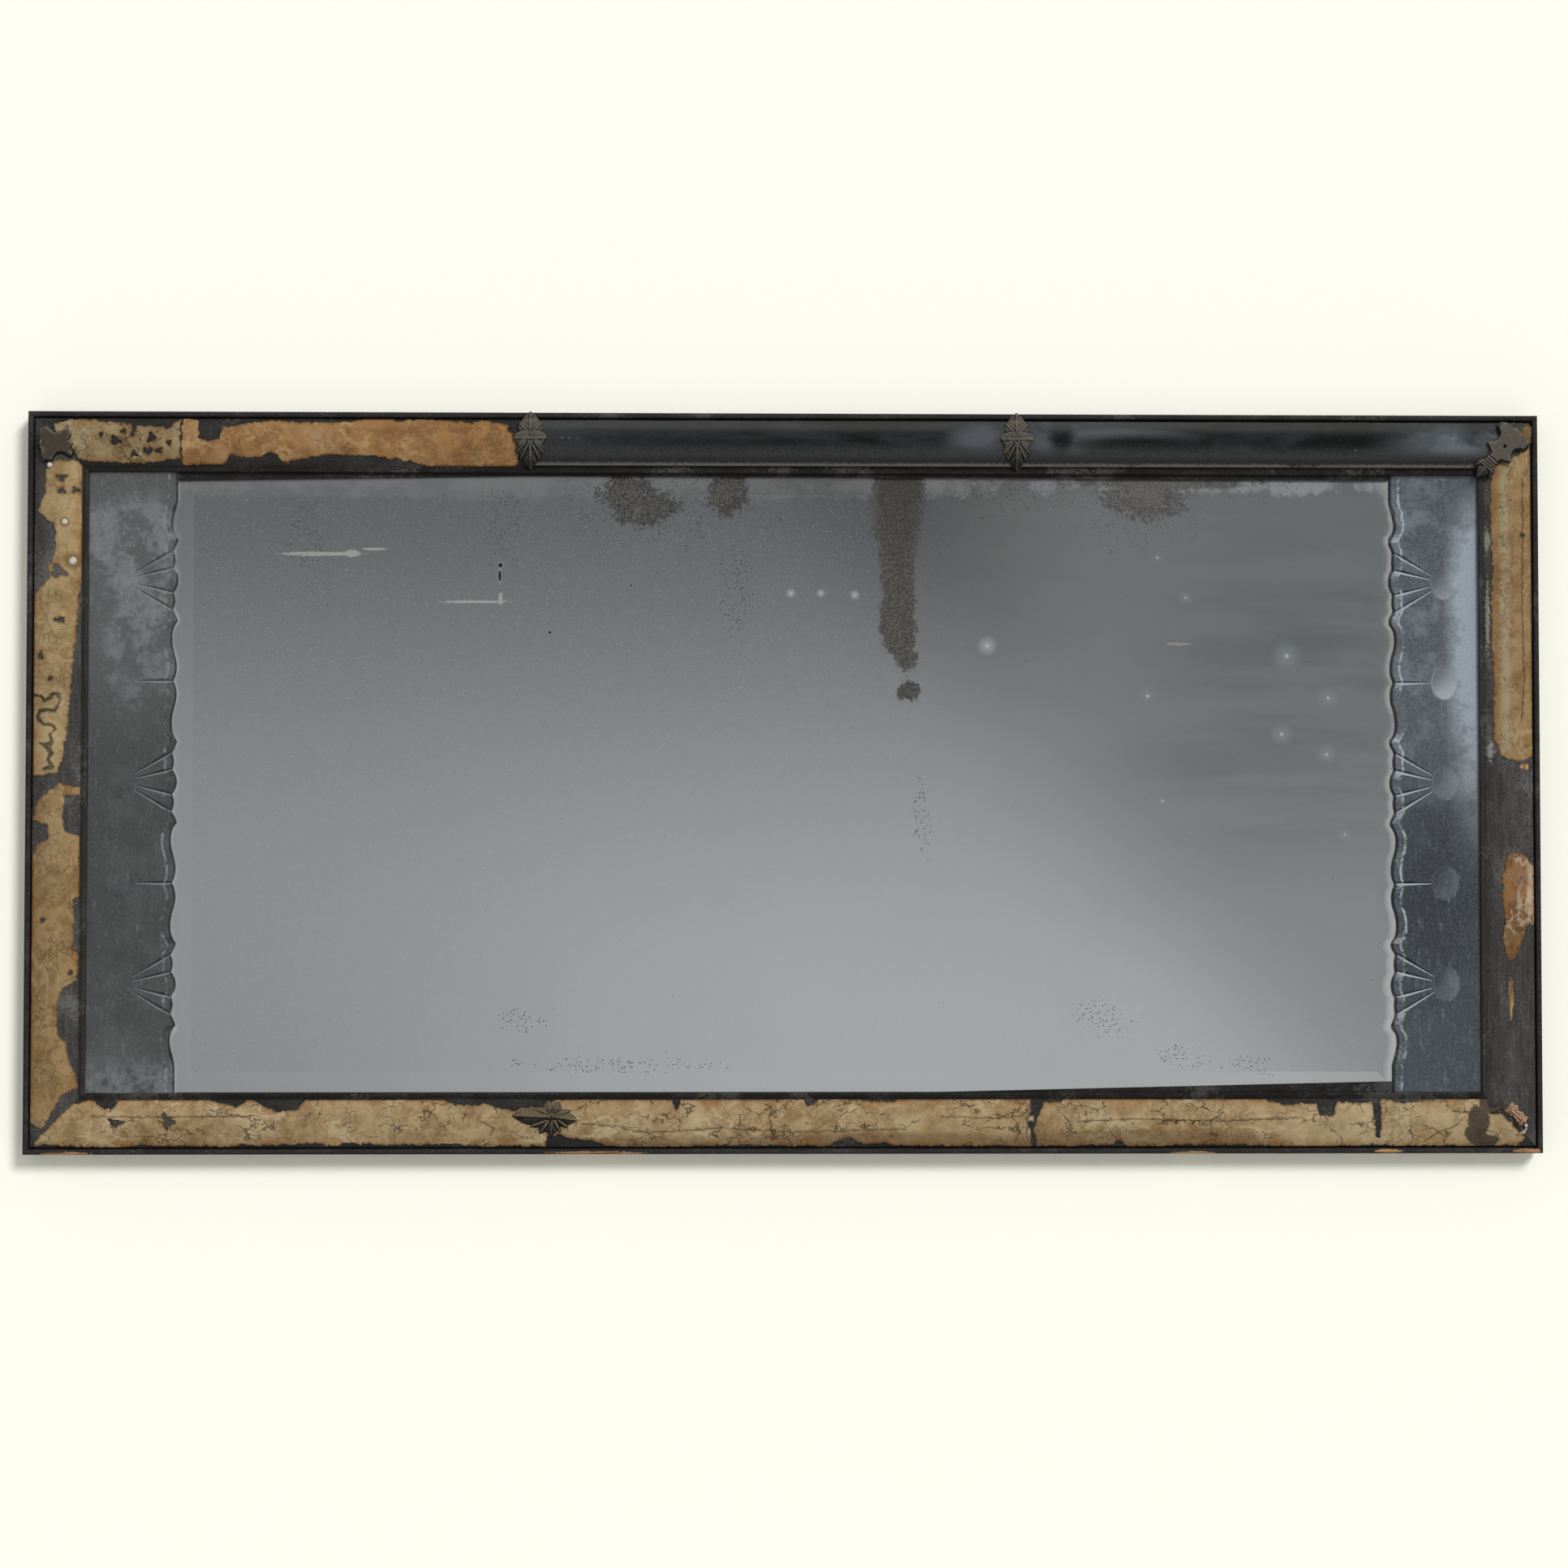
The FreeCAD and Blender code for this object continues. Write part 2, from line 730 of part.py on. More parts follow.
# Torn paper on the cushion. Each piece names its side and the end of that side it is measured from:
# -1 is the left or lower end. Its outline is the distance from that end, in thousandths of the side's
# length, and the distance from the outer edge, in hundredths of the moulding's width.
PAPER_SHARES = {
    "paper_top_corner": (
        "top", -1,
        [(16.6, 23), (26.8, 15), (50.4, 17), (68.1, 20), (69.7, 44), (71.9, 23), (92.3, 28),
         (100.9, 13), (99.8, 77), (77.3, 84), (59.5, 83), (41.8, 77), (35.4, 63), (23.6, 59)],
    ),
    "paper_top_left": (
        "top", -1,
        [(101.4, 13), (112.1, 15), (113.2, 47), (125.5, 47), (127.1, 28), (136.3, 23), (154.5, 15),
         (188.8, 17), (220.5, 13), (242.5, 16), (292.9, 16), (317.6, 21), (318.7, 35), (324.6, 35),
         (321.9, 84), (312.2, 88), (262.9, 88), (253.2, 83), (225.9, 73), (198.5, 72), (181.9, 79),
         (168.5, 85), (164.2, 72), (144.8, 77), (133, 73), (130.4, 87), (101.4, 88)],
    ),
    "paper_left_upper": (
        "left", 1,
        [(68, 40), (70.2, 83), (85.5, 88), (179.8, 88), (274.1, 84), (346.5, 77), (417.8, 71),
         (464.9, 64), (489, 55), (492.3, 13), (263.2, 13), (242.3, 16), (225.9, 37), (208.3, 36),
         (193, 47), (156.8, 47), (136, 16), (111.8, 29)],
    ),
    "paper_left_lower": (
        "left", -1,
        [(497.8, 57), (491.2, 88), (481.4, 67), (432, 67), (412.3, 88), (345.4, 88), (341, 81),
         (276.3, 80), (265.4, 88), (232.5, 87), (224.8, 67), (200.7, 57), (160.1, 59), (151.3, 71),
         (91, 88), (77.9, 64), (32.9, 33), (42.8, 13), (394.7, 13), (416.7, 20), (422.1, 39),
         (440.8, 39), (446.3, 13), (474.8, 20)],
    ),
    "paper_bottom_left": (
        "bottom", -1,
        [(8, 20), (32.2, 83), (45.1, 88), (54.2, 75), (62.8, 88), (117.5, 88), (140.6, 79),
         (148.1, 88), (167.4, 69), (184, 88), (273.6, 88), (304.7, 81), (323, 71), (340.1, 77),
         (348.7, 88), (424.9, 88), (427.6, 72), (431.3, 88), (509.7, 88), (514.5, 79), (526.3, 88),
         (660.9, 88), (658.3, 56), (661.5, 13), (551, 13), (541.8, 28), (535.4, 24), (527.9, 13),
         (375, 13), (343.9, 27), (341.7, 13), (51, 13)],
    ),
    "paper_bottom_right": (
        "bottom", 1,
        [(331, 85), (311.7, 88), (185.6, 88), (173.8, 81), (150.2, 83), (148.6, 64), (139.5, 64),
         (136.8, 85), (113.2, 88), (110.5, 27), (108.4, 88), (91.7, 83), (61.2, 88), (39.2, 88),
         (35.9, 76), (20.4, 67), (10.7, 27), (29, 13), (274.1, 13), (280.6, 21), (288.1, 13),
         (335.3, 13), (337.4, 36), (335.3, 59)],
    ),
    "paper_right_upper": (
        "right", 1,
        [(65.8, 19), (65.8, 67), (139.3, 68), (314.7, 73), (368.4, 69), (438.6, 75), (461.6, 64),
         (470.4, 27), (461.6, 13), (88.8, 13)],
    ),
    "paper_right_patch": (
        "right", 1,
        [(593.2, 47), (593.2, 35), (611.8, 13), (667.8, 13), (695.2, 25), (741.2, 48), (741.2, 56),
         (707.2, 67), (690.8, 61), (655.7, 68), (623.9, 65), (595.4, 57)],
    ),
}


def paper(name):
    side, end, outline = PAPER_SHARES[name]
    run = half_run(side)
    sheet = cushion_band(side, cushion_radius + paper_bed, paper_outer_radius, paper_margin, -run, run)
    points = []
    for distance, inward in outline:
        along = run - distance * 2 * run / 1000
        points.append(place(side, end * along, inward * moulding_width / 100, 0.0))
    face = Part.Face(Part.makePolygon(points + points[:1]))
    solid = sheet.common(face.extrude(FRONT * (cushion_top + moulding_width)))
    solid = solid.common(mitre_mask(side))
    for hole in pins_near(side) + (tacks() if side == "left" else []):
        solid = solid.cut(hole)
    return solid


# Carved leaves. A leaf lies along X with its tip at +X, is middled on the origin and rises along Z.
def carved(outline, reach, half, ridge, edge, droop):
    """A blade with an outline round the origin, under two slopes that meet in a falling midrib."""
    blade = Part.Face(outline).extrude(Vector(0, 0, leaf_root + 2 * ridge))
    fall = 2 * edge - ridge
    corners = [
        Vector(-reach, -2 * half, -2 * leaf_root),
        Vector(-reach, 2 * half, -2 * leaf_root),
        Vector(-reach, 2 * half, fall),
        Vector(-reach, 0, ridge),
        Vector(-reach, -2 * half, fall),
    ]
    roof = Part.Face(Part.makePolygon(corners + corners[:1])).extrude(Vector(2 * reach, 0, 0))
    roof.rotate(Vector(0, 0, ridge), Vector(0, 1, 0), droop)
    return blade.common(roof)


def leaf(length, width, droop=leaf_droop):
    """A pointed leaf between two arcs."""
    root = Vector(-length / 2, 0, -leaf_root)
    tip = Vector(length / 2, 0, -leaf_root)
    outline = Part.Wire(
        [
            arc(root, Vector(0, -width / 2, -leaf_root), tip),
            arc(tip, Vector(0, width / 2, -leaf_root), root),
        ]
    )
    return carved(outline, length, width / 2, leaf_ridge_height, leaf_edge_height, droop)


def shield():
    """The broad body of a joint ornament: round above its shoulders and drawn in below them."""

    def at(along, across):
        return Vector(along, across, -leaf_root)

    sides = []
    for sign in (1, -1):
        skirt = at(shield_end, sign * shield_skirt)
        shoulder = at(shield_shoulder, sign * shield_half)
        drawn_in = arc(skirt, at(shield_waist, sign * shield_skirt), shoulder)
        round_top = arc(shoulder, at(shield_crown, sign * shield_half / 2), at(shield_top, 0.0))
        sides.append([drawn_in, round_top])
    hem = line(at(shield_end, -shield_skirt), at(shield_end, shield_skirt))
    outline = Part.Wire([hem] + sides[0] + sides[1][::-1])
    return carved(outline, 2 * shield_half, shield_half, shield_ridge, leaf_edge_height, 0.0)


def stand(shape, spot, heading, normal):
    """Moves a shape from the origin to a spot, with its X along a heading and its Z along a normal."""
    beside = normal.cross(heading)
    matrix = Matrix(
        heading.x, beside.x, normal.x, spot.x,
        heading.y, beside.y, normal.y, spot.y,
        heading.z, beside.z, normal.z, spot.z,
        0, 0, 0, 1,
    )
    moved = shape.copy()
    moved.transformShape(matrix, True)
    return moved


def on_cushion(side, along, inward, seat):
    """A spot on the cushion, the way inwards over it there, and the way straight out of it."""
    angle = math.asin((inward - cushion_middle) / seat)
    inward_axis = place(side, 0, 1, 0) - place(side, 0, 0, 0)
    normal = inward_axis * math.sin(angle) + FRONT * math.cos(angle)
    tangent = inward_axis * math.cos(angle) - FRONT * math.sin(angle)
    return place(side, along, *cushion_point(angle, seat)), tangent, normal


def moulding_under(side, seat):
    """What an ornament on one side rests on: the beads, and the cushion with what lies on it."""
    edge = bead_front + ornament_seat
    half_angle = math.acos((edge - cushion_axis) / seat)
    start = -half_run(side)

    def at(inward, out):
        return place(side, start, inward, out)

    low = at(*cushion_point(-half_angle, seat))
    top = at(*cushion_point(0.0, seat))
    high = at(*cushion_point(half_angle, seat))
    beyond = 2 * moulding_width
    corners = [at(beyond, edge), at(beyond, 0.0), at(-beyond, 0.0), at(-beyond, edge)]
    outside = Part.makePolygon([high] + corners + [low])
    face = Part.Face(Part.Wire(outside.Edges + [arc(low, top, high)]))
    return face.extrude(along_axis(side) * (2 * half_run(side)))


def joint_leaf(side, along, seat, turned=False):
    """Leaves round a shield over a joint of the strips, across the cushion or turned along it."""
    middle = cushion_middle - joint_leaf_rise

    def spot(lengthwise, sideways):
        if turned:
            return along + lengthwise, middle + sideways
        return along + sideways, middle + lengthwise

    point, tangent, normal = on_cushion(side, along, middle, seat)
    heading = along_axis(side) if turned else tangent
    solids = [stand(shield(), point, heading, normal)]
    for root, root_side, tip, tip_side, width in JOINT_LEAVES:
        for mirror in (1, -1) if tip_side else (1,):
            start = spot(root, mirror * root_side)
            finish = spot(tip, mirror * tip_side)
            centre = [(first + last) / 2 for first, last in zip(start, finish)]
            point, tangent, normal = on_cushion(side, centre[0], centre[1], seat)
            slope = normal.dot(FRONT)
            heading = along_axis(side) * (finish[0] - start[0]) + tangent * ((finish[1] - start[1]) / slope)
            length = heading.Length
            solids.append(stand(leaf(length, width), point, heading.normalize(), normal))
    solid = solids[0].multiFuse(solids[1:])
    return largest(solid.cut(moulding_under(side, seat)))


def largest(shape):
    return max(shape.Solids, key=lambda solid: solid.Volume)


def corner_plate(origin, inward, top):
    """The thick star-shaped plate of a corner ornament, from an outer end along the way inwards."""
    beside = FRONT.cross(inward)

    def outline(level, grow):
        def at(index, mirror):
            along, across, lean = CORNER_PLATE[index]
            wide = mirror * (across + grow) if across else 0.0
            return origin + inward * (along + lean * grow) + beside * wide + FRONT * level

        edges = [arc(at(1, -1), at(0, 1), at(1, 1))]
        edges.append(arc(at(1, 1), at(2, 1), at(3, 1)))
        edges.append(line(at(3, 1), at(4, 1)))
        edges.append(line(at(4, 1), at(5, 1)))
        edges.append(line(at(5, 1), at(5, -1)))
        edges.append(line(at(5, -1), at(4, -1)))
        edges.append(line(at(4, -1), at(3, -1)))
        edges.append(arc(at(3, -1), at(2, -1), at(1, -1)))
        return Part.Wire(edges)

    return Part.makeLoft([outline(frame_depth, corner_draft), outline(top, 0.0)], True, True)


def corner_frame(x_sign, z_sign):
    """The outer corner of the frame and the direction of its mitre, inwards."""
    corner = Vector(x_sign * half_width, 0, z_sign * half_height)
    return corner, Vector(-x_sign, 0, -z_sign).normalize()


def corner_under(x_sign, z_sign, seat):
    """The two mouldings under a corner ornament, each up to the mitre."""
    deep = 2 * moulding_width
    level = "top" if z_sign > 0 else "bottom"
    upright = "left" if x_sign < 0 else "right"
    first = moulding_under(level, seat).common(mitre_mask(level, deep))
    return first.fuse(moulding_under(upright, seat).common(mitre_mask(upright, deep)))


def corner_leaf():
    """The upper right corner ornament: a star plate, a ribbed collar and a bud towards the plate."""
    corner, inward = corner_frame(1, 1)
    beside = FRONT.cross(inward)
    solid = corner_plate(corner, inward, corner_top)
    collar = CORNER_PLATE[-1][0]
    for rib in range(collar_ribs):
        width = collar_width + rib * collar_step
        spot = corner + inward * (collar + (rib + 0.5) * collar_pitch) - beside * (width / 2)
        spot += FRONT * (corner_top - collar_radius - rib * collar_drop)
        solid = solid.fuse(peg(spot, beside, collar_radius, width))
    bud_middle = collar + (collar_ribs - 1) * collar_pitch + corner_bud_length / 2
    spot = corner + inward * bud_middle + FRONT * (corner_top - leaf_ridge_height - bud_drop)
    solid = solid.fuse(stand(leaf(corner_bud_length, corner_bud_width, 2 * leaf_droop), spot, inward, FRONT))
    return largest(solid.cut(corner_under(1, 1, strip_outer_radius + ornament_seat)))


def broken_origin():
    """Where the upper left corner ornament is measured from: it has slipped and lies level."""
    return Vector(broken_in - CORNER_PLATE[0][0] - half_width, 0, half_height - broken_down)


def broken_corner_leaf():
    """What is left of the upper left corner ornament: its star plate, broken off short of the tail."""
    origin = broken_origin()
    inward = Vector(1, 0, 0)
    plate = corner_plate(origin, inward, broken_top)
    tail = CORNER_PLATE[-1][0]
    waste = [(origin.x + tail - away, origin.z + across) for away, across in BREAK_LINE]
    waste += [(origin.x + 2 * tail, waste[-1][1]), (origin.x + 2 * tail, waste[0][1])]
    solid = plate.cut(prism(waste, 0.0, 2 * broken_top))
    return largest(solid.cut(corner_under(-1, 1, paper_outer_radius + ornament_seat)))


def stub_spot(along):
    corner, inward = corner_frame(1, -1)
    return corner + inward * along - FRONT.cross(inward) * stub_offset


def corner_stub():
    """The splintered core that is left of the lower right corner ornament."""
    inward = corner_frame(1, -1)[1]
    spot = stub_spot(stub_start + stub_length / 2) + FRONT * (stub_top - leaf_ridge_height)
    stub = stand(leaf(stub_length, stub_width), spot, inward, FRONT)
    return largest(stub.cut(corner_under(1, -1, paper_outer_radius + ornament_seat)))


# Pins through the ornaments and dome-headed tacks through the paper
def pin_places():
    """Where each ornament's pin stands, by name: x, z and how far its head stands from the wall."""
    glass_top = cushion_axis + strip_outer_radius + ornament_seat + shield_ridge
    paper_top = cushion_axis + paper_outer_radius + ornament_seat + shield_ridge
    level = half_height - cushion_middle + joint_leaf_rise
    corner, inward = corner_frame(1, 1)
    right = corner + inward * corner_pin_along
    left = broken_origin() + Vector(CORNER_PLATE[2][0], 0, 0)
    lower = stub_spot(stub_start + stub_pin_along)
    return {
        "joint_left": (-joint_left_of_centre, level, glass_top),
        "joint_right": (joint_right_of_centre, level, glass_top),
        "joint_lower": (-lower_joint_left_of_centre, -level, paper_top),
        "corner_left": (left.x, left.z, broken_top),
        "corner_right": (right.x, right.z, corner_top),
        "corner_lower": (lower.x, lower.z, stub_top),
    }


def ornament_pin(name):
    x, z, out = pin_places()[name]
    head_base = Vector(x, -out + pin_head_height / 2, z)
    shank = peg(head_base, -FRONT, pin_radius, pin_bite)
    head = Part.makeCone(pin_head_radius, pin_head_radius / 2, pin_head_height, head_base, FRONT)
    return head.fuse(shank)


def pins_near(side):
    names = {
        "top": ("joint_left", "joint_right", "corner_left", "corner_right"),
        "bottom": ("joint_lower", "corner_lower"),
        "left": ("corner_left",),
        "right": ("corner_right", "corner_lower"),
    }
    return [ornament_pin(name) for name in names[side]]


def tacks():
    seat = paper_outer_radius
    dome_radius = (tack_radius**2 + tack_rise**2) / (2 * tack_rise)
    dome = Part.makeSphere(dome_radius)
    dome.translate(Vector(0, 0, tack_rise - dome_radius))
    head = dome.common(Part.makeCylinder(2 * tack_radius, 2 * tack_rise))
    point = Vector(0, 0, tack_rise / 2 - tack_length)
    tack = head.fuse(Part.makeCylinder(tack_shank_radius, tack_length, point))
    made = []
    for drop, share in zip(tack_drops, TACK_IN_SHARES):
        spot, tangent, normal = on_cushion("left", half_height - drop, share * moulding_width, seat)
        made.append(stand(tack, spot, tangent, normal))
    return made


def pinned(solid, name):
    return solid.cut(ornament_pin(name))


# Hanging rings: a leaf let in flush, a pin and a ring with a barrel
def hanger_leaf(sign):
    x = sign * hanger_from_centre
    low = opening_half_height
    return box(
        (x - hanger_plate_width / 2, 0, low),
        (x + hanger_plate_width / 2, hanger_plate_thickness, low + hanger_plate_height),
    )


def hinge_spot(sign, along=0.0):
    return Vector(sign * hanger_from_centre + along, -hanger_axis_depth, hanger_axis_z)


def hanger_plate(sign):
    solid = hanger_leaf(sign)
    x = sign * hanger_from_centre
    for end in (-1, 1):
        inner = end * (barrel_length / 2 + barrel_side_gap)
        outer = inner + end * knuckle_length
        start = min(inner, outer)
        knuckle = peg(hinge_spot(sign, start), Vector(1, 0, 0), knuckle_radius, knuckle_length)
        web = box(
            (x + inner, hanger_web_inset, hanger_axis_z),
            (x + outer, hanger_plate_thickness, opening_half_height),
        )
        solid = solid.fuse(knuckle).fuse(web)
    solid = solid.cut(hanger_pin(sign))
    for screw in hanger_screws(sign):
        solid = solid.cut(screw)
    return solid.removeSplitter()


def hanger_pin(sign):
    reach = barrel_length / 2 + barrel_side_gap + knuckle_length
    return peg(hinge_spot(sign, -reach), Vector(1, 0, 0), hinge_pin_radius, 2 * reach)


def hanger_ring(sign):
    axis = hinge_spot(sign)
    centre = axis - Vector(0, 0, ring_drop)
    back = centre + Vector(0, ring_thickness / 2, 0)
    disc = peg(back, FRONT, ring_outer_radius, ring_thickness)
    barrel = peg(hinge_spot(sign, -barrel_length / 2), Vector(1, 0, 0), knuckle_radius, barrel_length)
    neck = box(
        (axis.x - ring_neck_width / 2, hanger_axis_depth - ring_thickness / 2, axis.z),
        (axis.x + ring_neck_width / 2, hanger_axis_depth + ring_thickness / 2, centre.z),
    )
    solid = disc.fuse(neck).fuse(barrel)
    solid = solid.cut(peg(back, FRONT, ring_inner_radius, ring_thickness))
    bore_radius = hinge_pin_radius + hinge_clearance
    bore = peg(hinge_spot(sign, -barrel_length), Vector(1, 0, 0), bore_radius, 2 * barrel_length)
    return solid.cut(bore).removeSplitter()


def hanger_screws(sign):
    x = sign * hanger_from_centre
    screws = []
    for beside, rise in SCREW_SHARES:
        spot = Vector(x + beside * hanger_plate_width, 0, opening_half_height + rise * hanger_plate_height)
        head = Part.makeCone(screw_head_radius, screw_radius, screw_head_height, spot, FRONT)
        screws.append(head.fuse(peg(spot, FRONT, screw_radius, screw_length)))
    return screws


def group(solids):
    return Part.makeCompound(solids)


def build():
    """Every piece of the mirror, by name."""
    glass_seat = strip_outer_radius + ornament_seat
    paper_seat = paper_outer_radius + ornament_seat
    nodes = {
        "stile_left": stile("left"),
        "stile_right": stile("right"),
        "rail_top": rail(1),
        "rail_bottom": rail(-1),
        "back_muntin": muntin(),
        "corner_pegs": group([p for sign in (-1, 1) for end in (-1, 1) for p in joint_pegs(sign, end)]),
        "main_plate": main_plate(),
        "slip_top": slip(1),
        "slip_bottom": slip(-1),
        "muntin_nails": group(muntin_nails()),
        "retaining_blocks": group(retaining_blocks()),
        "cushion_glass_centre": cushion_strip("centre"),
        "cushion_glass_right": cushion_strip("right"),
        "leaf_top_left_joint": pinned(joint_leaf("top", -joint_left_of_centre, glass_seat), "joint_left"),
        "leaf_top_right_joint": pinned(joint_leaf("top", joint_right_of_centre, glass_seat), "joint_right"),
        "leaf_bottom_joint": pinned(
            joint_leaf("bottom", -lower_joint_left_of_centre, paper_seat, True), "joint_lower"
        ),
        "leaf_top_right_corner": pinned(corner_leaf(), "corner_right"),
        "leaf_top_left_corner": pinned(broken_corner_leaf(), "corner_left"),
        "leaf_stub_bottom_right": pinned(corner_stub(), "corner_lower"),
        "ornament_pins": group([ornament_pin(name) for name in pin_places()]),
        "paper_tacks": group(tacks()),
        "hanger_screws": group([screw for sign in (-1, 1) for screw in hanger_screws(sign)]),
    }
    for side in SIDES:
        nodes["outer_bead_" + side] = outer_bead(side)
        nodes["cushion_" + side] = cushion(side)
        nodes["sight_bead_" + side] = sight_bead(side)
    for side, sign in (("left", -1), ("right", 1)):
        nodes["side_plate_" + side] = side_plate(side)
        nodes["packing_" + side] = packing(side)
        nodes["hanger_plate_" + side] = hanger_plate(sign)
        nodes["hanger_pin_" + side] = hanger_pin(sign)
        nodes["hanger_ring_" + side] = hanger_ring(sign)
        for row, level in enumerate(("lower", "middle", "upper")[:boards_per_side]):
            nodes["backboard_" + side + "_" + level] = backboard(sign, row)
    for name in PAPER_SHARES:
        nodes[name] = paper(name)
    return nodes


def main():
    os.makedirs("parts", exist_ok=True)
    for name, shape in build().items():
        volume = sum(solid.Volume for solid in shape.Solids)
        print(f"{name}: {len(shape.Solids)} solids, {volume:.1f} mm3, valid {shape.isValid()}")
        shape.exportStep(os.path.join("parts", name + ".step"))


if __name__ == "__main__":
    main()
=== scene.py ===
"""A wide wall mirror: black cushion moulding, torn lining paper, carved leaves and old looking-glass."""

import logging
import math
from dataclasses import dataclass
from enum import Enum

import bmesh
import bpy
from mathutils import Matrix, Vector, kdtree, noise


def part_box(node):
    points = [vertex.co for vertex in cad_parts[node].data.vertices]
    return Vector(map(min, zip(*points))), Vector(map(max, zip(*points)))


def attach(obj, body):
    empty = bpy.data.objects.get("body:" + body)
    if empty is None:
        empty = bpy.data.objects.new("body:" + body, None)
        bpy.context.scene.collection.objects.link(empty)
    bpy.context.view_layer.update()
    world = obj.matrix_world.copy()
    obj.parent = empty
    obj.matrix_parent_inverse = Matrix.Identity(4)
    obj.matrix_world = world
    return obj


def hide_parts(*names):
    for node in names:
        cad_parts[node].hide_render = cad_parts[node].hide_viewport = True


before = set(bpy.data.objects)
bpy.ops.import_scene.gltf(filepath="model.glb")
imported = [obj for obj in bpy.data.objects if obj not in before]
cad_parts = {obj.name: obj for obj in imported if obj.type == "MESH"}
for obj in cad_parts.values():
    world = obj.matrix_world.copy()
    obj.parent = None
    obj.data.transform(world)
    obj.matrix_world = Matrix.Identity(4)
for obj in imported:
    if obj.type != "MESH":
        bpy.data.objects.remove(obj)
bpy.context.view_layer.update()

log = logging.getLogger("wall_mirror")

MM = 0.001
BODY = "frame"
SMOOTH_UNDER = math.radians(50)
GRIT_REACH = 2.4
GRIT_MEAN = 1.7
Colour = tuple[float, float, float, float]
Triple = tuple[float, float, float]
Point = tuple[float, float]
Line = tuple[Point, ...]
Marks = tuple[tuple[Point, Point], ...]


def paint(red: int, green: int, blue: int) -> Colour:
    """Turns a colour as it looks on a screen into linear light.

    Args:
        red: The red part, 0 to 255.
        green: The green part, 0 to 255.
        blue: The blue part, 0 to 255.

    Returns:
        The colour as linear light, with full alpha.
    """
    parts = [part / 255 for part in (red, green, blue)]
    light = [p / 12.92 if p <= 0.04045 else ((p + 0.055) / 1.055) ** 2.4 for p in parts]
    return (light[0], light[1], light[2], 1.0)


class Value:
    """A number socket of a node tree, on which Python's operators add Math nodes."""

    def __init__(self, nodes: "NodeTree", socket: bpy.types.NodeSocket) -> None:
        """Keeps the socket and the nodes that it belongs to."""
        self.nodes = nodes
        self.socket = socket

    def __add__(self, other: "Value | float") -> "Value":
        """Sum."""
        return self.nodes.math("ADD", self, other)

    __radd__ = __add__

    def __sub__(self, other: "Value | float") -> "Value":
        """Difference."""
        return self.nodes.math("SUBTRACT", self, other)

    def __rsub__(self, other: float) -> "Value":
        """Difference from a plain number."""
        return self.nodes.math("SUBTRACT", other, self)

    def __mul__(self, other: "Value | float") -> "Value":
        """Product."""
        return self.nodes.math("MULTIPLY", self, other)

    __rmul__ = __mul__

    def __truediv__(self, other: "Value | float") -> "Value":
        """Quotient."""
        return self.nodes.math("DIVIDE", self, other)

    def __rtruediv__(self, other: float) -> "Value":
        """A plain number divided by the value."""
        return self.nodes.math("DIVIDE", other, self)

    def __pow__(self, other: "Value | float") -> "Value":
        """Power."""
        return self.nodes.math("POWER", self, other)

    def __rpow__(self, other: float) -> "Value":
        """A plain number raised to the value."""
        return self.nodes.math("POWER", other, self)

    def __neg__(self) -> "Value":
        """The value with its sign turned."""
        return self.nodes.math("SUBTRACT", 0.0, self)

    def __abs__(self) -> "Value":
        """Size without its sign."""
        return self.nodes.math("ABSOLUTE", self)

    def least(self, other: "Value | float") -> "Value":
        """The smaller of two values."""
        return self.nodes.math("MINIMUM", self, other)

    def most(self, other: "Value | float") -> "Value":
        """The larger of two values."""
        return self.nodes.math("MAXIMUM", self, other)

    def zigzag(self) -> "Value":
        """Rises to 1 and falls back to 0, over and over."""
        return self.nodes.math("PINGPONG", self, 1.0)

    def ramp(self, start: float, end: float) -> "Value":
        """Rises smoothly from 0 at start to 1 at end, and stays there.

        Args:
            start: The value that gives 0.
            end: The value that gives 1.

        Returns:
            The risen value.
        """
        limits = {"From Min": start, "From Max": end, "Value": self}
        if start > end:
            limits.update({"From Min": end, "From Max": start, "To Min": 1.0, "To Max": 0.0})
        made = self.nodes.node("MapRange", {"interpolation_type": "SMOOTHSTEP"}, limits)
        return Value(self.nodes, made.outputs[0])

    def crumble(self, grit: "Value", hard: float = 0.06) -> "Value":
        """Breaks a soft mask up into grains, fewer where the mask is weaker.

        Args:
            grit: A fine cloudy pattern.
            hard: How sharp the grains' edges are; smaller is sharper.

        Returns:
            The broken mask.
        """
        return (self + grit * GRIT_REACH - GRIT_MEAN).ramp(-hard, hard)


Feed = Value | bpy.types.NodeSocket | float | tuple


class NodeTree:
    """A node tree, to which nodes are added by expressions."""

    def __init__(self, owner: bpy.types.Material | bpy.types.World) -> None:
        """Empties the node tree of a material or a world."""
        owner.use_nodes = True
        self.tree = owner.node_tree
        self.tree.nodes.clear()

    def node(
        self, kind: str, settings: dict | None = None, inputs: dict[str | int, Feed] | None = None
    ) -> bpy.types.Node:
        """Adds any node.

        Args:
            kind: The node's type without its ShaderNode prefix.
            settings: Properties of the node, which are set first.
            inputs: A value or a link for each socket, by name or number.

        Returns:
            The node.
        """
        made = self.tree.nodes.new("ShaderNode" + kind)
        for key, value in (settings or {}).items():
            setattr(made, key, value)
        for key, value in (inputs or {}).items():
            source = value.socket if isinstance(value, Value) else value
            if isinstance(source, bpy.types.NodeSocket):
                self.tree.links.new(source, made.inputs[key])
            else:
                made.inputs[key].default_value = source
        return made

    def math(self, operation: str, first: Feed, second: Feed = 0.0) -> Value:
        """Adds one Math node.

        Args:
            operation: The node's operation.
            first: Its first input.
            second: Its second input.

        Returns:
            The node's result.
        """
        return Value(self, self.node("Math", {"operation": operation}, {0: first, 1: second}).outputs[0])


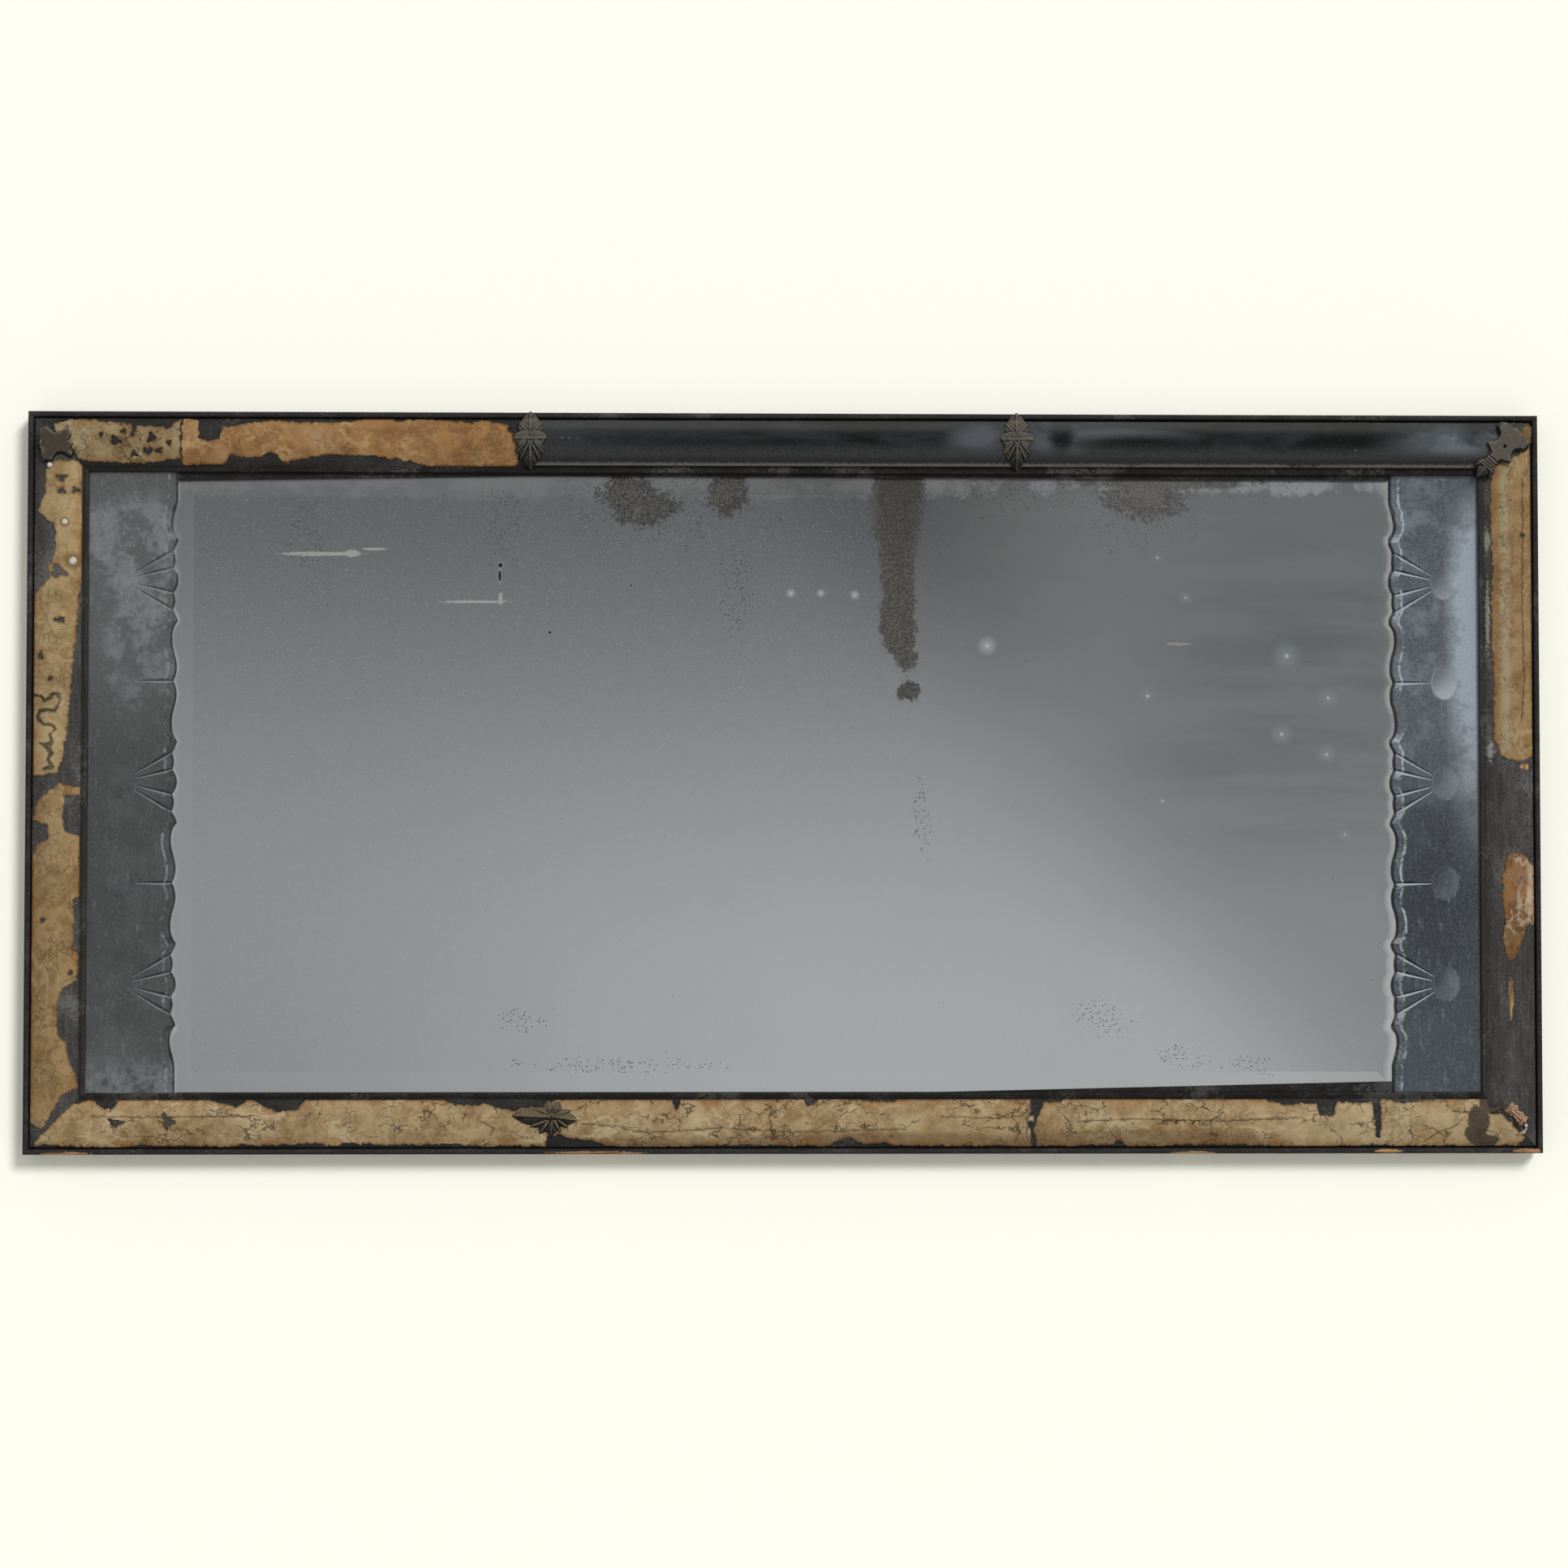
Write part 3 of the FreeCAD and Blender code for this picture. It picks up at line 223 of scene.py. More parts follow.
class Shader(NodeTree):
    """The nodes of one material."""

    def __init__(self, name: str) -> None:
        """Starts an empty material with that name."""
        self.material = bpy.data.materials.new(name)
        super().__init__(self.material)
        self.place = self.node("TexCoord").outputs["Object"]
        self.x, self.y, self.z = self.parts(self.place)

    def parts(self, vector: bpy.types.NodeSocket) -> tuple[Value, ...]:
        """The three numbers of a vector."""
        return tuple(Value(self, socket) for socket in self.node("SeparateXYZ", None, {0: vector}).outputs)

    def facing(self) -> tuple[Value, ...]:
        """The three numbers of the surface's normal."""
        return self.parts(self.node("NewGeometry").outputs["Normal"])

    def drawn_out(self, stretch: Triple, turn: float = 0.0) -> bpy.types.NodeSocket:
        """The object's own coordinates, drawn out along some axes and turned about Y.

        Args:
            stretch: A factor for X, Y and Z; below 1 draws a pattern out.
            turn: An angle about Y, in radians.

        Returns:
            The coordinates.
        """
        inputs = {"Vector": self.place, "Scale": stretch, "Rotation": (0.0, turn, 0.0)}
        return self.node("Mapping", {"vector_type": "POINT"}, inputs).outputs[0]

    def cloud(
        self,
        scale: float,
        detail: float = 4.0,
        rough: float = 0.55,
        stretch: Triple = (1.0, 1.0, 1.0),
        turn: float = 0.0,
        twist: float = 0.0,
    ) -> Value:
        """A cloudy pattern from 0 to 1.

        Args:
            scale: Patches per metre.
            detail: How many finer layers it has.
            rough: How strong the finer layers are.
            stretch: A factor for each axis; below 1 draws it out.
            turn: An angle about Y, in radians.
            twist: How much it is distorted.

        Returns:
            The pattern.
        """
        inputs = {
            "Vector": self.drawn_out(stretch, turn),
            "Scale": scale,
            "Detail": detail,
            "Roughness": rough,
            "Distortion": twist,
        }
        return Value(self, self.node("TexNoise", None, inputs).outputs[0])

    def cells(
        self, scale: float, feature: str = "F1", stretch: Triple = (1.0, 1.0, 1.0), waver: float = 0.0
    ) -> Value:
        """A pattern of cells: the distance from their middles or from their borders.

        Args:
            scale: Cells per metre.
            feature: Which distance is measured.
            stretch: A factor for each axis.
            waver: How far the pattern is pushed about, in millimetres.

        Returns:
            The distance.
        """
        place = self.drawn_out(stretch)
        if waver:
            inputs = {"Vector": self.place, "Scale": 90.0, "Detail": 4.0}
            push = self.node("TexNoise", None, inputs).outputs["Color"]
            inputs = {0: push, 1: (waver * MM, waver * MM, waver * MM), 2: place}
            place = self.node("VectorMath", {"operation": "MULTIPLY_ADD"}, inputs).outputs[0]
        inputs = {"Vector": place, "Scale": scale}
        return Value(self, self.node("TexVoronoi", {"feature": feature}, inputs).outputs[0])

    def spot(self, middle: Point, radii: Point, soft: float = 0.5, ragged: Value | float = 0.0) -> Value:
        """An oval patch on the front, 1 inside and 0 outside.

        Args:
            middle: Its x and z in millimetres.
            radii: Its half width and half height in millimetres.
            soft: How far its edge is spread, as a share.
            ragged: A pattern that breaks its edge up.

        Returns:
            The mask.
        """
        across = (self.x - middle[0] * MM) / (radii[0] * MM)
        along = (self.z - middle[1] * MM) / (radii[1] * MM)
        reach = (across * across + along * along) ** 0.5
        return (reach + ragged).ramp(1 + soft, 1 - soft)

    def blend(self, mask: Feed, first: Feed, second: Feed) -> bpy.types.NodeSocket:
        """Mixes two colours.

        Args:
            mask: 0 gives the first colour and 1 the second.
            first: A colour.
            second: Another colour.

        Returns:
            The mixed colour.
        """
        made = self.node("Mix", {"data_type": "RGBA"}, {0: mask, 6: first, 7: second})
        return made.outputs[2]

    def layered(self, colour: Feed, *layers: tuple[Feed, Feed]) -> Feed:
        """Lays colours over one another.

        Args:
            colour: The lowest colour.
            *layers: A mask and a colour for each layer, from the lowest to the highest.

        Returns:
            The mixed colour.
        """
        for mask, tone in layers:
            colour = self.blend(mask, colour, tone)
        return colour

    def spots(self, marks: Marks, soft: float = 0.5, ragged: Value | float = 0.0) -> Value:
        """Several oval patches together.

        Args:
            marks: The middle and the radii of each, in millimetres.
            soft: How far their edges are spread, as a share.
            ragged: A pattern that breaks their edges up.

        Returns:
            The mask.
        """
        found = self.spot(*marks[0], soft, ragged)
        for middle, radii in marks[1:]:
            found = found.most(self.spot(middle, radii, soft, ragged))
        return found

    def stroke(self, points: Line) -> Value:
        """How far each place lies from a broken line.

        Args:
            points: The corners of the line, in millimetres.

        Returns:
            The distance in metres.
        """
        nearest = None
        for (start_x, start_z), (end_x, end_z) in zip(points, points[1:]):
            run, rise = (end_x - start_x) * MM, (end_z - start_z) * MM
            square = run * run + rise * rise
            across, up = self.x - start_x * MM, self.z - start_z * MM
            share = (across * (run / square) + up * (rise / square)).most(0.0).least(1.0)
            aside, above = across - share * run, up - share * rise
            gap = aside * aside + above * above
            nearest = gap if nearest is None else nearest.least(gap)
        return self.math("SQRT", nearest)

    def drawn_curve(self, share: Value, heights: list[float]) -> Value:
        """A curve through evenly spaced heights.

        Args:
            share: The place along it, 0 to 1.
            heights: The heights, 0 to 1.

        Returns:
            The height at that place.
        """
        made = self.node("FloatCurve", None, {"Value": share})
        points = made.mapping.curves[0].points
        points[0].location = (0.0, heights[0])
        points[1].location = (1.0, heights[-1])
        for number, height in enumerate(heights[1:-1], 1):
            points.new(number / (len(heights) - 1), height)
        made.mapping.update()
        return Value(self, made.outputs[0])

    def attribute(self, name: str) -> Value:
        """A number that the piece's mesh carries."""
        return Value(self, self.node("Attribute", {"attribute_name": name}).outputs["Fac"])

    def raised(self, height: Value, distance: float, strength: float = 1.0) -> bpy.types.NodeSocket:
        """A normal for a fine surface texture.

        Args:
            height: The texture, 0 to 1.
            distance: How high 1 stands, in millimetres.
            strength: How much of it shows.

        Returns:
            The normal.
        """
        inputs = {"Height": height, "Distance": distance * MM, "Strength": strength}
        return self.node("Bump", None, inputs).outputs[0]

    def finish(self, **sockets: Feed) -> bpy.types.Material:
        """Closes the material with one surface shader.

        Args:
            **sockets: The shader's sockets, with an underscore for each space.

        Returns:
            The finished material.
        """
        inputs = {key.replace("_", " "): value for key, value in sockets.items()}
        surface = self.node("BsdfPrincipled", None, inputs)
        self.node("OutputMaterial", None, {"Surface": surface.outputs[0]})
        return self.material


class Grain(Enum):
    """Which way the fibres of a wooden piece run, as factors for X, Y and Z."""

    LEVEL = (0.05, 1.0, 1.0)
    UPRIGHT = (1.0, 1.0, 0.05)


@dataclass(frozen=True)
class BlackWood:
    """Ebonised wood, dusty and rubbed, with bare wood where it is chipped."""

    name: str
    grain: Grain
    colour: Colour = paint(50, 48, 46)
    deep: Colour = paint(24, 23, 22)
    dusty: Colour = paint(92, 90, 86)
    bare: Colour = paint(186, 142, 94)
    bare_dark: Colour = paint(96, 66, 42)
    flaked: Colour = paint(158, 158, 152)
    dust: float = 0.4
    chips: Marks = ()
    flakes: Marks = ()

    def material(self) -> bpy.types.Material:
        """Builds the finish.

        Returns:
            The material.
        """
        shader = Shader(self.name)
        fibres = shader.cloud(500.0, 5.0, 0.65, self.grain.value)
        streaks = shader.cloud(70.0, 5.0, 0.65, tuple(part**0.35 for part in self.grain.value))
        drift = shader.cloud(14.0, 5.0, 0.6)
        grit = shader.cloud(420.0, 5.0, 0.75)
        dusty = (streaks * 0.4 + grit * 0.6).ramp(0.44, 0.66) * drift.ramp(0.25, 0.65) * self.dust
        scuffs = (drift.ramp(0.48, 0.7) * 0.75).crumble(shader.cloud(240.0, 5.0, 0.7))
        colour = shader.layered(
            self.deep,
            (fibres.ramp(0.3, 0.66) * 0.45 + grit * 0.7, self.colour),
            (dusty, self.dusty),
            (scuffs * 0.4, self.dusty),
        )
        ragged = shader.cloud(220.0, 4.0, 0.7) * 1.6 - 0.8
        if self.chips:
            chipped = shader.spots(self.chips, 0.2, ragged).crumble(grit)
            wood = shader.blend(fibres.ramp(0.36, 0.56), self.bare_dark, self.bare)
            colour = shader.blend(chipped * 0.9, colour, wood)
        if self.flakes:
            flaked = (shader.spots(self.flakes, 0.9, ragged) * 0.74).crumble(grit)
            colour = shader.blend(flaked * 0.7, colour, self.flaked)
        return shader.finish(
            Base_Color=colour,
            Roughness=0.46 + dusty * 0.4,
            Specular_IOR_Level=0.35,
            Normal=shader.raised(fibres, 0.25, 0.6),
        )


@dataclass(frozen=True)
class RawWood:
    """Aged softwood of the back, bare except forward of black_from, where it is black."""

    name: str
    grain: Grain
    early: Colour = paint(150, 118, 80)
    late: Colour = paint(124, 92, 58)
    grime: Colour = paint(86, 70, 52)
    ring_scale: float = 46.0
    black: Colour = paint(26, 25, 24)
    black_from: float = 28.0

    def material(self) -> bpy.types.Material:
        """Builds the finish.

        Returns:
            The material.
        """
        shader = Shader(self.name)
        rings = shader.cloud(self.ring_scale, 2.0, 0.4, self.grain.value, twist=0.3)
        fibres = shader.cloud(700.0, 4.0, 0.6, self.grain.value)
        dirt = shader.cloud(self.ring_scale * 0.12, 6.0, 0.6)
        flecks = shader.cloud(260.0, 5.0, 0.75).ramp(0.6, 0.72) * dirt.ramp(0.35, 0.6)
        depth = self.black_from * MM
        colour = shader.layered(
            self.early,
            ((rings * 9.0).zigzag().ramp(0.45, 1.0) * 0.75, self.late),
            (fibres.ramp(0.4, 0.75) * 0.45, self.late),
            (dirt.ramp(0.4, 0.75) * 0.6, self.grime),
            (flecks * 0.4, self.grime),
            # black forward of black_from, where the pine shows in the groove between bead and cushion
            ((-shader.y).ramp(depth - MM, depth), self.black),
        )
        return shader.finish(Base_Color=colour, Roughness=0.82, Normal=shader.raised(fibres, 0.3, 0.7))


@dataclass(frozen=True)
class ScallopedEdge:
    """The cut edge of a side plate, read from its node, as a curve that a finish can follow."""

    node: str
    inward: float
    steps: int = 120
    least: float = 0.6

    def distance(self, shader: Shader) -> Value:
        """How far a place lies from the edge, towards the middle of the mirror, in metres.

        Args:
            shader: The finish that needs it.

        Returns:
            The distance, which is below 0 on the side plate.
        """
        low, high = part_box(self.node)
        reach = high.x - low.x
        edges = [0.0] * self.steps
        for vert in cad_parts[self.node].data.vertices:
            step = min(self.steps - 1, int((vert.co.z - low.z) / (high.z - low.z) * self.steps))
            share = (vert.co.x - low.x) / reach
            edges[step] = max(edges[step], share if self.inward > 0 else 1 - share)
        for step in range(1, self.steps):
            if edges[step] < self.least:
                edges[step] = edges[step - 1]
        curve = shader.drawn_curve((shader.z - low.z) / (high.z - low.z), edges)
        if self.inward > 0:
            return shader.x - low.x - curve * reach
        return high.x - curve * reach - shader.x


@dataclass(frozen=True)
class PlateGlass:
    """The silvered main plate, foxed along its top, with a run of damp and a haze to the right."""

    name: str = "main_mirror_glass"
    silver: Colour = paint(226, 228, 229)
    foxed: Colour = paint(110, 109, 106)
    pitted: Colour = paint(52, 51, 48)
    haze: Colour = paint(150, 155, 158)
    film: Colour = paint(98, 106, 112)
    bloom: Colour = paint(190, 196, 200)
    # colour of the painted reflection of the side plates' cut edges
    rim: Colour = paint(172, 174, 173)
    paste: Colour = paint(146, 144, 139)
    # also the colour of the painted shadow in the gap beside the right side plate
    speck: Colour = paint(38, 37, 35)
    faded: Colour = paint(124, 122, 117)
    bloom_core: float = 0.3
    foxing: Marks = (
        ((-194.0, 356.0), (34.0, 26.0)),
        ((-176.0, 340.0), (40.0, 20.0)),
        ((-72.0, 358.0), (26.0, 24.0)),
        ((445.0, 357.0), (46.0, 26.0)),
        ((470.0, 373.0), (110.0, 9.0)),
        ((152.0, 113.0), (13.0, 12.0)),
    )
    freckled: Marks = (
        ((-150.0, 345.0), (120.0, 46.0)),
        ((-62.0, 232.0), (22.0, 62.0)),
        ((440.0, 335.0), (80.0, 44.0)),
        ((300.0, 358.0), (150.0, 24.0)),
        ((590.0, 362.0), (60.0, 18.0)),
        ((166.0, -38.0), (12.0, 44.0)),
        ((-324.0, -290.0), (30.0, 16.0)),
        ((391.0, -290.0), (38.0, 22.0)),
        ((481.0, -335.0), (30.0, 14.0)),
        ((566.0, -345.0), (36.0, 14.0)),
        ((-590.0, 310.0), (30.0, 40.0)),
        ((-350.0, 320.0), (24.0, 50.0)),
        ((-200.0, -348.0), (120.0, 10.0)),
    )
    blooms: tuple[tuple[Point, float], ...] = (
        ((620.0, 157.5), 12.0),
        ((249.0, 169.5), 10.0),
        ((495.0, 229.5), 6.0),
        ((447.0, 107.5), 8.0),
        ((671.0, 105.5), 8.0),
        ((613.0, 60.5), 9.0),
        ((669.0, 35.5), 8.0),
        ((465.0, -22.5), 5.0),
        ((691.0, -63.5), 5.0),
        ((85.0, 232.0), 4.0),
        ((43.0, 234.0), 3.5),
        ((6.0, 234.0), 4.0),
        ((460.0, 279.0), 6.0),
    )
    smears: Marks = (
        ((-573.0, 281.5), (47.0, 2.4)),
        ((-535.0, 282.0), (9.0, 4.2)),
        ((-507.0, 287.5), (14.0, 1.5)),
        ((-386.0, 222.5), (38.0, 1.6)),
        ((-352.0, 226.0), (2.2, 7.0)),
        ((485.0, 172.0), (17.0, 2.4)),
    )
    marks: Marks = (
        ((-352.0, 268.0), (3.4, 3.6)),
        ((-353.0, 255.0), (2.0, 8.0)),
        ((-191.0, 243.0), (1.6, 1.6)),
        ((-291.0, 185.0), (2.2, 2.0)),
    )

    def damp_run(self, shader: Shader, ragged: Value) -> Value:
        """The long tongue of lost silver that runs down from the top edge, soft at its sides.

        Args:
            shader: The finish that needs it.
            ragged: A pattern that breaks its edges up.

        Returns:
            The mask.
        """
        left = 0.136 - shader.z.ramp(0.125, 0.185) * 0.020 - shader.z.ramp(0.25, 0.36) * 0.014
        right = 0.160 + shader.z.ramp(0.27, 0.35) * 0.012
        within = (shader.x - left + ragged * 0.016).ramp(-0.012, 0.022)
        within = within * (right - shader.x + ragged * 0.010).ramp(-0.010, 0.014)
        return within * (shader.z + ragged * 0.016).ramp(0.120, 0.156)

    def material(self) -> bpy.types.Material:
        """Builds the finish.

        Returns:
            The material.
        """
        shader = Shader(self.name)
        grit = shader.cloud(430.0, 5.0, 0.72)
        grain = shader.cloud(900.0, 3.0, 0.7)
        ragged = shader.cloud(46.0, 7.0, 0.74) * 2.4 - 1.2
        coarse = shader.cloud(150.0, 6.0, 0.8)
        run = self.damp_run(shader, ragged)
        lost = (run * 1.05).crumble(grit * 0.5 + coarse * 0.5, 0.12)
        foxed = (shader.spots(self.foxing, 0.95, ragged) * 0.8).crumble(grit * 0.4 + coarse * 0.6, 0.2)
        freckled = shader.spots(self.freckled, 0.9, ragged * 0.7) * 0.78
        dotted = shader.cells(300.0).ramp(0.30, 0.16) * freckled.crumble(shader.cloud(95.0, 4.0, 0.7))
        lost = lost.most(foxed * 0.85).most(dotted)
        hazy, film = self.haze_masks(shader)
        dust = self.dust_mask(shader)
        paste = (shader.spots(self.smears, 0.4, ragged * 0.5) * 0.95).crumble(grit, 0.4)
        dark = shader.spots(self.marks, 0.4, ragged * 0.3)
        pitted = shader.layered(
            self.pitted,
            ((grain * 0.5 + grit * 0.5).ramp(0.4, 0.62), self.foxed),
            (coarse.ramp(0.62, 0.4) * 0.35, self.pitted),
            (shader.z.ramp(0.2, 0.38) * run.ramp(0.5, 1.0) * 0.5, self.pitted),
            (shader.x.ramp(0.28, 0.34) * 0.3, self.faded),
        )
        rim, gap = self.edge_masks(shader)
        # a little haze on the tilted bevel faces: a painted sheen that makes the bevels show
        lean_x, _, lean_z = shader.facing()
        hazy = hazy.most((abs(lean_x) + abs(lean_z)).ramp(0.003, 0.012) * 0.05)
        colour = shader.layered(
            self.silver,
            ((film * 1.9).least(1.0), self.film),
            (hazy, self.haze),
            # painted reflection of the side plates' cut edges
            (rim, self.rim),
            (dust, self.bloom),
            # painted shadow in the gap beside the right side plate
            (gap, self.speck),
            (paste * 0.8, self.paste),
            (lost.ramp(0.0, 0.45), pitted),
            (dark, self.speck),
        )
        dull = lost.ramp(0.3, 0.8).most(paste * 0.75).most(dark).most(dust * 0.8)
        dull = dull.most(film).most(hazy).most(rim).most(gap)
        smudge = shader.cloud(5.0, 5.0, 0.55).ramp(0.35, 0.75)
        return shader.finish(
            Base_Color=colour,
            Metallic=(1 - dull).most(0.0),
            Roughness=0.06 + smudge * 0.05 + hazy * 0.2 + lost * 0.5,
            Specular_IOR_Level=0.2,
        )

    def dust_mask(self, shader: Shader) -> Value:
        """Specks and short dashes of dust to the right, and the pale blooms.

        Args:
            shader: The finish that needs it.

        Returns:
            The mask.
        """
        dust = shader.cells(150.0).ramp(0.13, 0.04) * shader.x.ramp(-0.1, 0.5) * shader.z.ramp(-0.42, 0.0)
        dust = dust * shader.cloud(60.0, 2.0).ramp(0.52, 0.62)
        dashes = shader.cells(95.0, "F1", (0.45, 1.0, 3.4)).ramp(0.09, 0.05)
        dust = dust.most(dashes * shader.cloud(30.0, 2.0).ramp(0.56, 0.66) * 0.5) * 0.55
        for middle, radius in self.blooms:
            dust = dust.most(shader.spot(middle, (radius, radius), 0.95) * 0.42)
            core = radius * self.bloom_core
            dust = dust.most(shader.spot(middle, (core, core), 0.5) * 0.8)
        return dust

    def haze_masks(self, shader: Shader) -> tuple[Value, Value]:
        """The haze under the top edge, and the bluish film that was wiped across the right half.

        Args:
            shader: The finish that needs them.

        Returns:
            The masks of the haze and of the film.
        """
        strokes = shader.cloud(9.0, 5.0, 0.6, (0.35, 1.0, 2.2), 0.25).ramp(0.32, 0.68)
        right = shader.x.ramp(0.1, 0.62) * shader.z.ramp(-0.34, 0.06)
        film = right * (0.66 + strokes * 0.22)
        frayed = shader.z + shader.cloud(50.0, 6.0, 0.7) * 0.04 - 0.02
        top = frayed.ramp(0.344, 0.366) * (0.12 + shader.x.ramp(0.05, 0.72) * 0.75)
        top = top * shader.cloud(18.0, 5.0, 0.65).ramp(0.3, 0.55)
        return top * 0.85, film * 0.5

    def edge_masks(self, shader: Shader) -> tuple[Value, Value]:
        """The pale rim along the side plates' cut edges and the dark gap beside them: painted reflection and
        shadow.

        Args:
            shader: The finish that needs them.

        Returns:
            The masks of the rim's painted reflection and of the gap's painted shadow.
        """
        left = ScallopedEdge("side_plate_left", 1.0).distance(shader)
        right = ScallopedEdge("side_plate_right", -1.0).distance(shader)
        soft = shader.cloud(30.0, 4.0, 0.6).ramp(0.25, 0.6)
        # painted reflection of the cut edges: a thin line on the left, a wide halo on the right
        rim = (left.ramp(0.0035, 0.0008) * soft * 0.45).most(left.ramp(0.012, 0.0) * 0.12)
        rim = rim.most(right.ramp(0.016, 0.0) * (0.55 + soft * 0.35))
        # painted shadow in the gap beside the right side plate
        gap = right.ramp(0.0022, 0.0010)
        return rim, gap * 0.8


@dataclass(frozen=True)
class SideGlass:
    """The darker glass of a side plate, clouded and crazed."""

    name: str
    upper: Colour
    lower: Colour
    cloudy: Colour
    spent: Colour = paint(62, 62, 61)
    cloud_from: float = 0.02
    cloud_to: float = 0.2
    clouded: float = 0.9
    wear: float = 0.55
    edge_haze: float = 0.0
    edge_shade: float = 0.0
    outer: float = 0.0
    dim: Marks = ()
    dimmed: float = 0.42
    oval_light: float = 1.0
    # strength of the painted highlights and shade on the facets and ovals
    glint: float = 0.4
    foot: float = 0.0
    oval_x: float = 0.0
    oval_pitch: float = 124.0
    oval: Point = (16.5, 21.5)
    cut: ScallopedEdge | None = None
    # colour of the painted highlights, also of pale grains in the glass
    lit: Colour = paint(178, 186, 193)
    speck: Colour = paint(42, 42, 41)
    # colour of the painted shade on facets that face down or to the right
    shade: Colour = paint(44, 46, 48)
    # colour of the painted shade along the cut edge
    cut_shade: Colour = paint(40, 41, 42)

    def material(self) -> bpy.types.Material:
        """Builds the finish.

        Returns:
            The material.
        """
        shader = Shader(self.name)
        grit = shader.cloud(330.0, 6.0, 0.8)
        patches = shader.cloud(26.0, 6.0, 0.68) * 0.7 + shader.cloud(140.0, 5.0, 0.7) * 0.3
        high = shader.z.ramp(self.cloud_from, self.cloud_to)
        mist = patches.ramp(0.36, 0.66) * (0.22 + high * 0.78) * self.clouded
        if self.edge_haze:
            rim = abs(shader.x - self.outer).ramp(0.062, 0.010) * (0.6 + patches.ramp(0.36, 0.6) * 0.4)
            rim = rim * self.edge_haze * shader.z.ramp(-0.17, 0.20) * shader.z.ramp(0.41, 0.24)
            mist = mist.most(rim).least(1.0)
        if self.edge_shade:
            border = abs(shader.x - self.outer).ramp(0.042, 0.014) * shader.z.ramp(0.28, 0.24)
            mist = mist * (1 - border.most(shader.z.ramp(0.325, 0.37)) * self.edge_shade)
        mist = mist.most(shader.z.ramp(-0.32, -0.37) * patches.ramp(0.3, 0.6) * self.foot)
        worn = (patches.ramp(0.58, 0.36) * 0.85).crumble(grit, 0.3)
        streaks = shader.cloud(190.0, 4.0, 0.7, (1.0, 1.0, 0.25)).ramp(0.52, 0.72)
        fine = shader.cloud(1000.0, 3.0, 0.8)
        specks = shader.cells(420.0).ramp(0.22, 0.1) * shader.cloud(40.0, 3.0).ramp(0.54, 0.66)
        lean_x, _, lean_z = shader.facing()
        # how far a facet faces up and to the left; it sets the painted highlight and shade
        tilt = lean_z * 4.0 - lean_x * 1.6
        edge = self.cut.distance(shader)
        # a painted highlight line along the inner border of the bevel
        ridge = abs(edge + 0.0102).ramp(0.0026, 0.0008) * patches.ramp(0.4, 0.56)
        # painted highlights on facets that face up or left, strongest on the flutes
        painted_highlight = (tilt.ramp(0.12, 0.7) * 0.8).most(ridge * 0.8).crumble(grit, 0.5)
        painted_highlight = painted_highlight.most(tilt.ramp(1.0, 2.0)) * self.glint
        ovals = tuple(((self.oval_x, row * self.oval_pitch), self.oval) for row in range(-2, 3))
        upper = shader.z.ramp(-0.06, 0.10) * shader.z.ramp(0.30, 0.17)
        # painted highlight in the oval hollows, stronger in the upper rows and on sides facing up or left
        oval_highlight = shader.spots(ovals, 0.12) * self.glint * self.oval_light * (0.24 + upper * 0.45)
        oval_highlight = oval_highlight * (0.5 + fine * 0.6) * (0.55 + tilt.ramp(-0.3, 0.3) * 0.9)
        colour = shader.layered(self.lower, (high, self.upper), (worn * self.wear, self.spent))
        if self.dim:
            dim = shader.spots(self.dim, 0.8, patches - 0.5)
            colour = shader.blend(dim * self.dimmed, colour, self.spent)
        colour = shader.layered(
            colour,
            (mist * (0.7 + grit * 0.5), self.cloudy),
            (streaks * 0.25, self.cloudy),
            (specks * 0.75, self.speck),
            (grit.ramp(0.52, 0.7) * patches.ramp(0.36, 0.56) * 0.3, self.lit),
            (grit.ramp(0.5, 0.34) * 0.3, self.spent),
            (fine.ramp(0.52, 0.7) * 0.35, self.spent),
            (fine.ramp(0.46, 0.3) * 0.16, self.lit),
            # painted highlight in the ovals
            (oval_highlight, self.lit),
            # painted shade on facets that face down or to the right
            (tilt.ramp(-0.1, -0.7) * (0.3 + self.glint * 0.35), self.shade),
            # painted highlights on the facets and along the bevel
            (painted_highlight, self.lit),
            # painted shade along the cut edge
            (edge.ramp(-0.0030, -0.0010) * 0.7, self.cut_shade),
        )
        dull = (mist * 0.72).most(worn * 0.35).most(specks)
        dull = dull.most(streaks * 0.3).most(painted_highlight * 0.8).most(oval_highlight * 0.9)
        return shader.finish(
            Base_Color=colour,
            Metallic=(1 - dull).most(0.0),
            Roughness=0.2 + mist * 0.3 + worn * 0.25,
            Specular_IOR_Level=0.3,
            Normal=shader.raised(grit, 0.05, 0.25),
        )


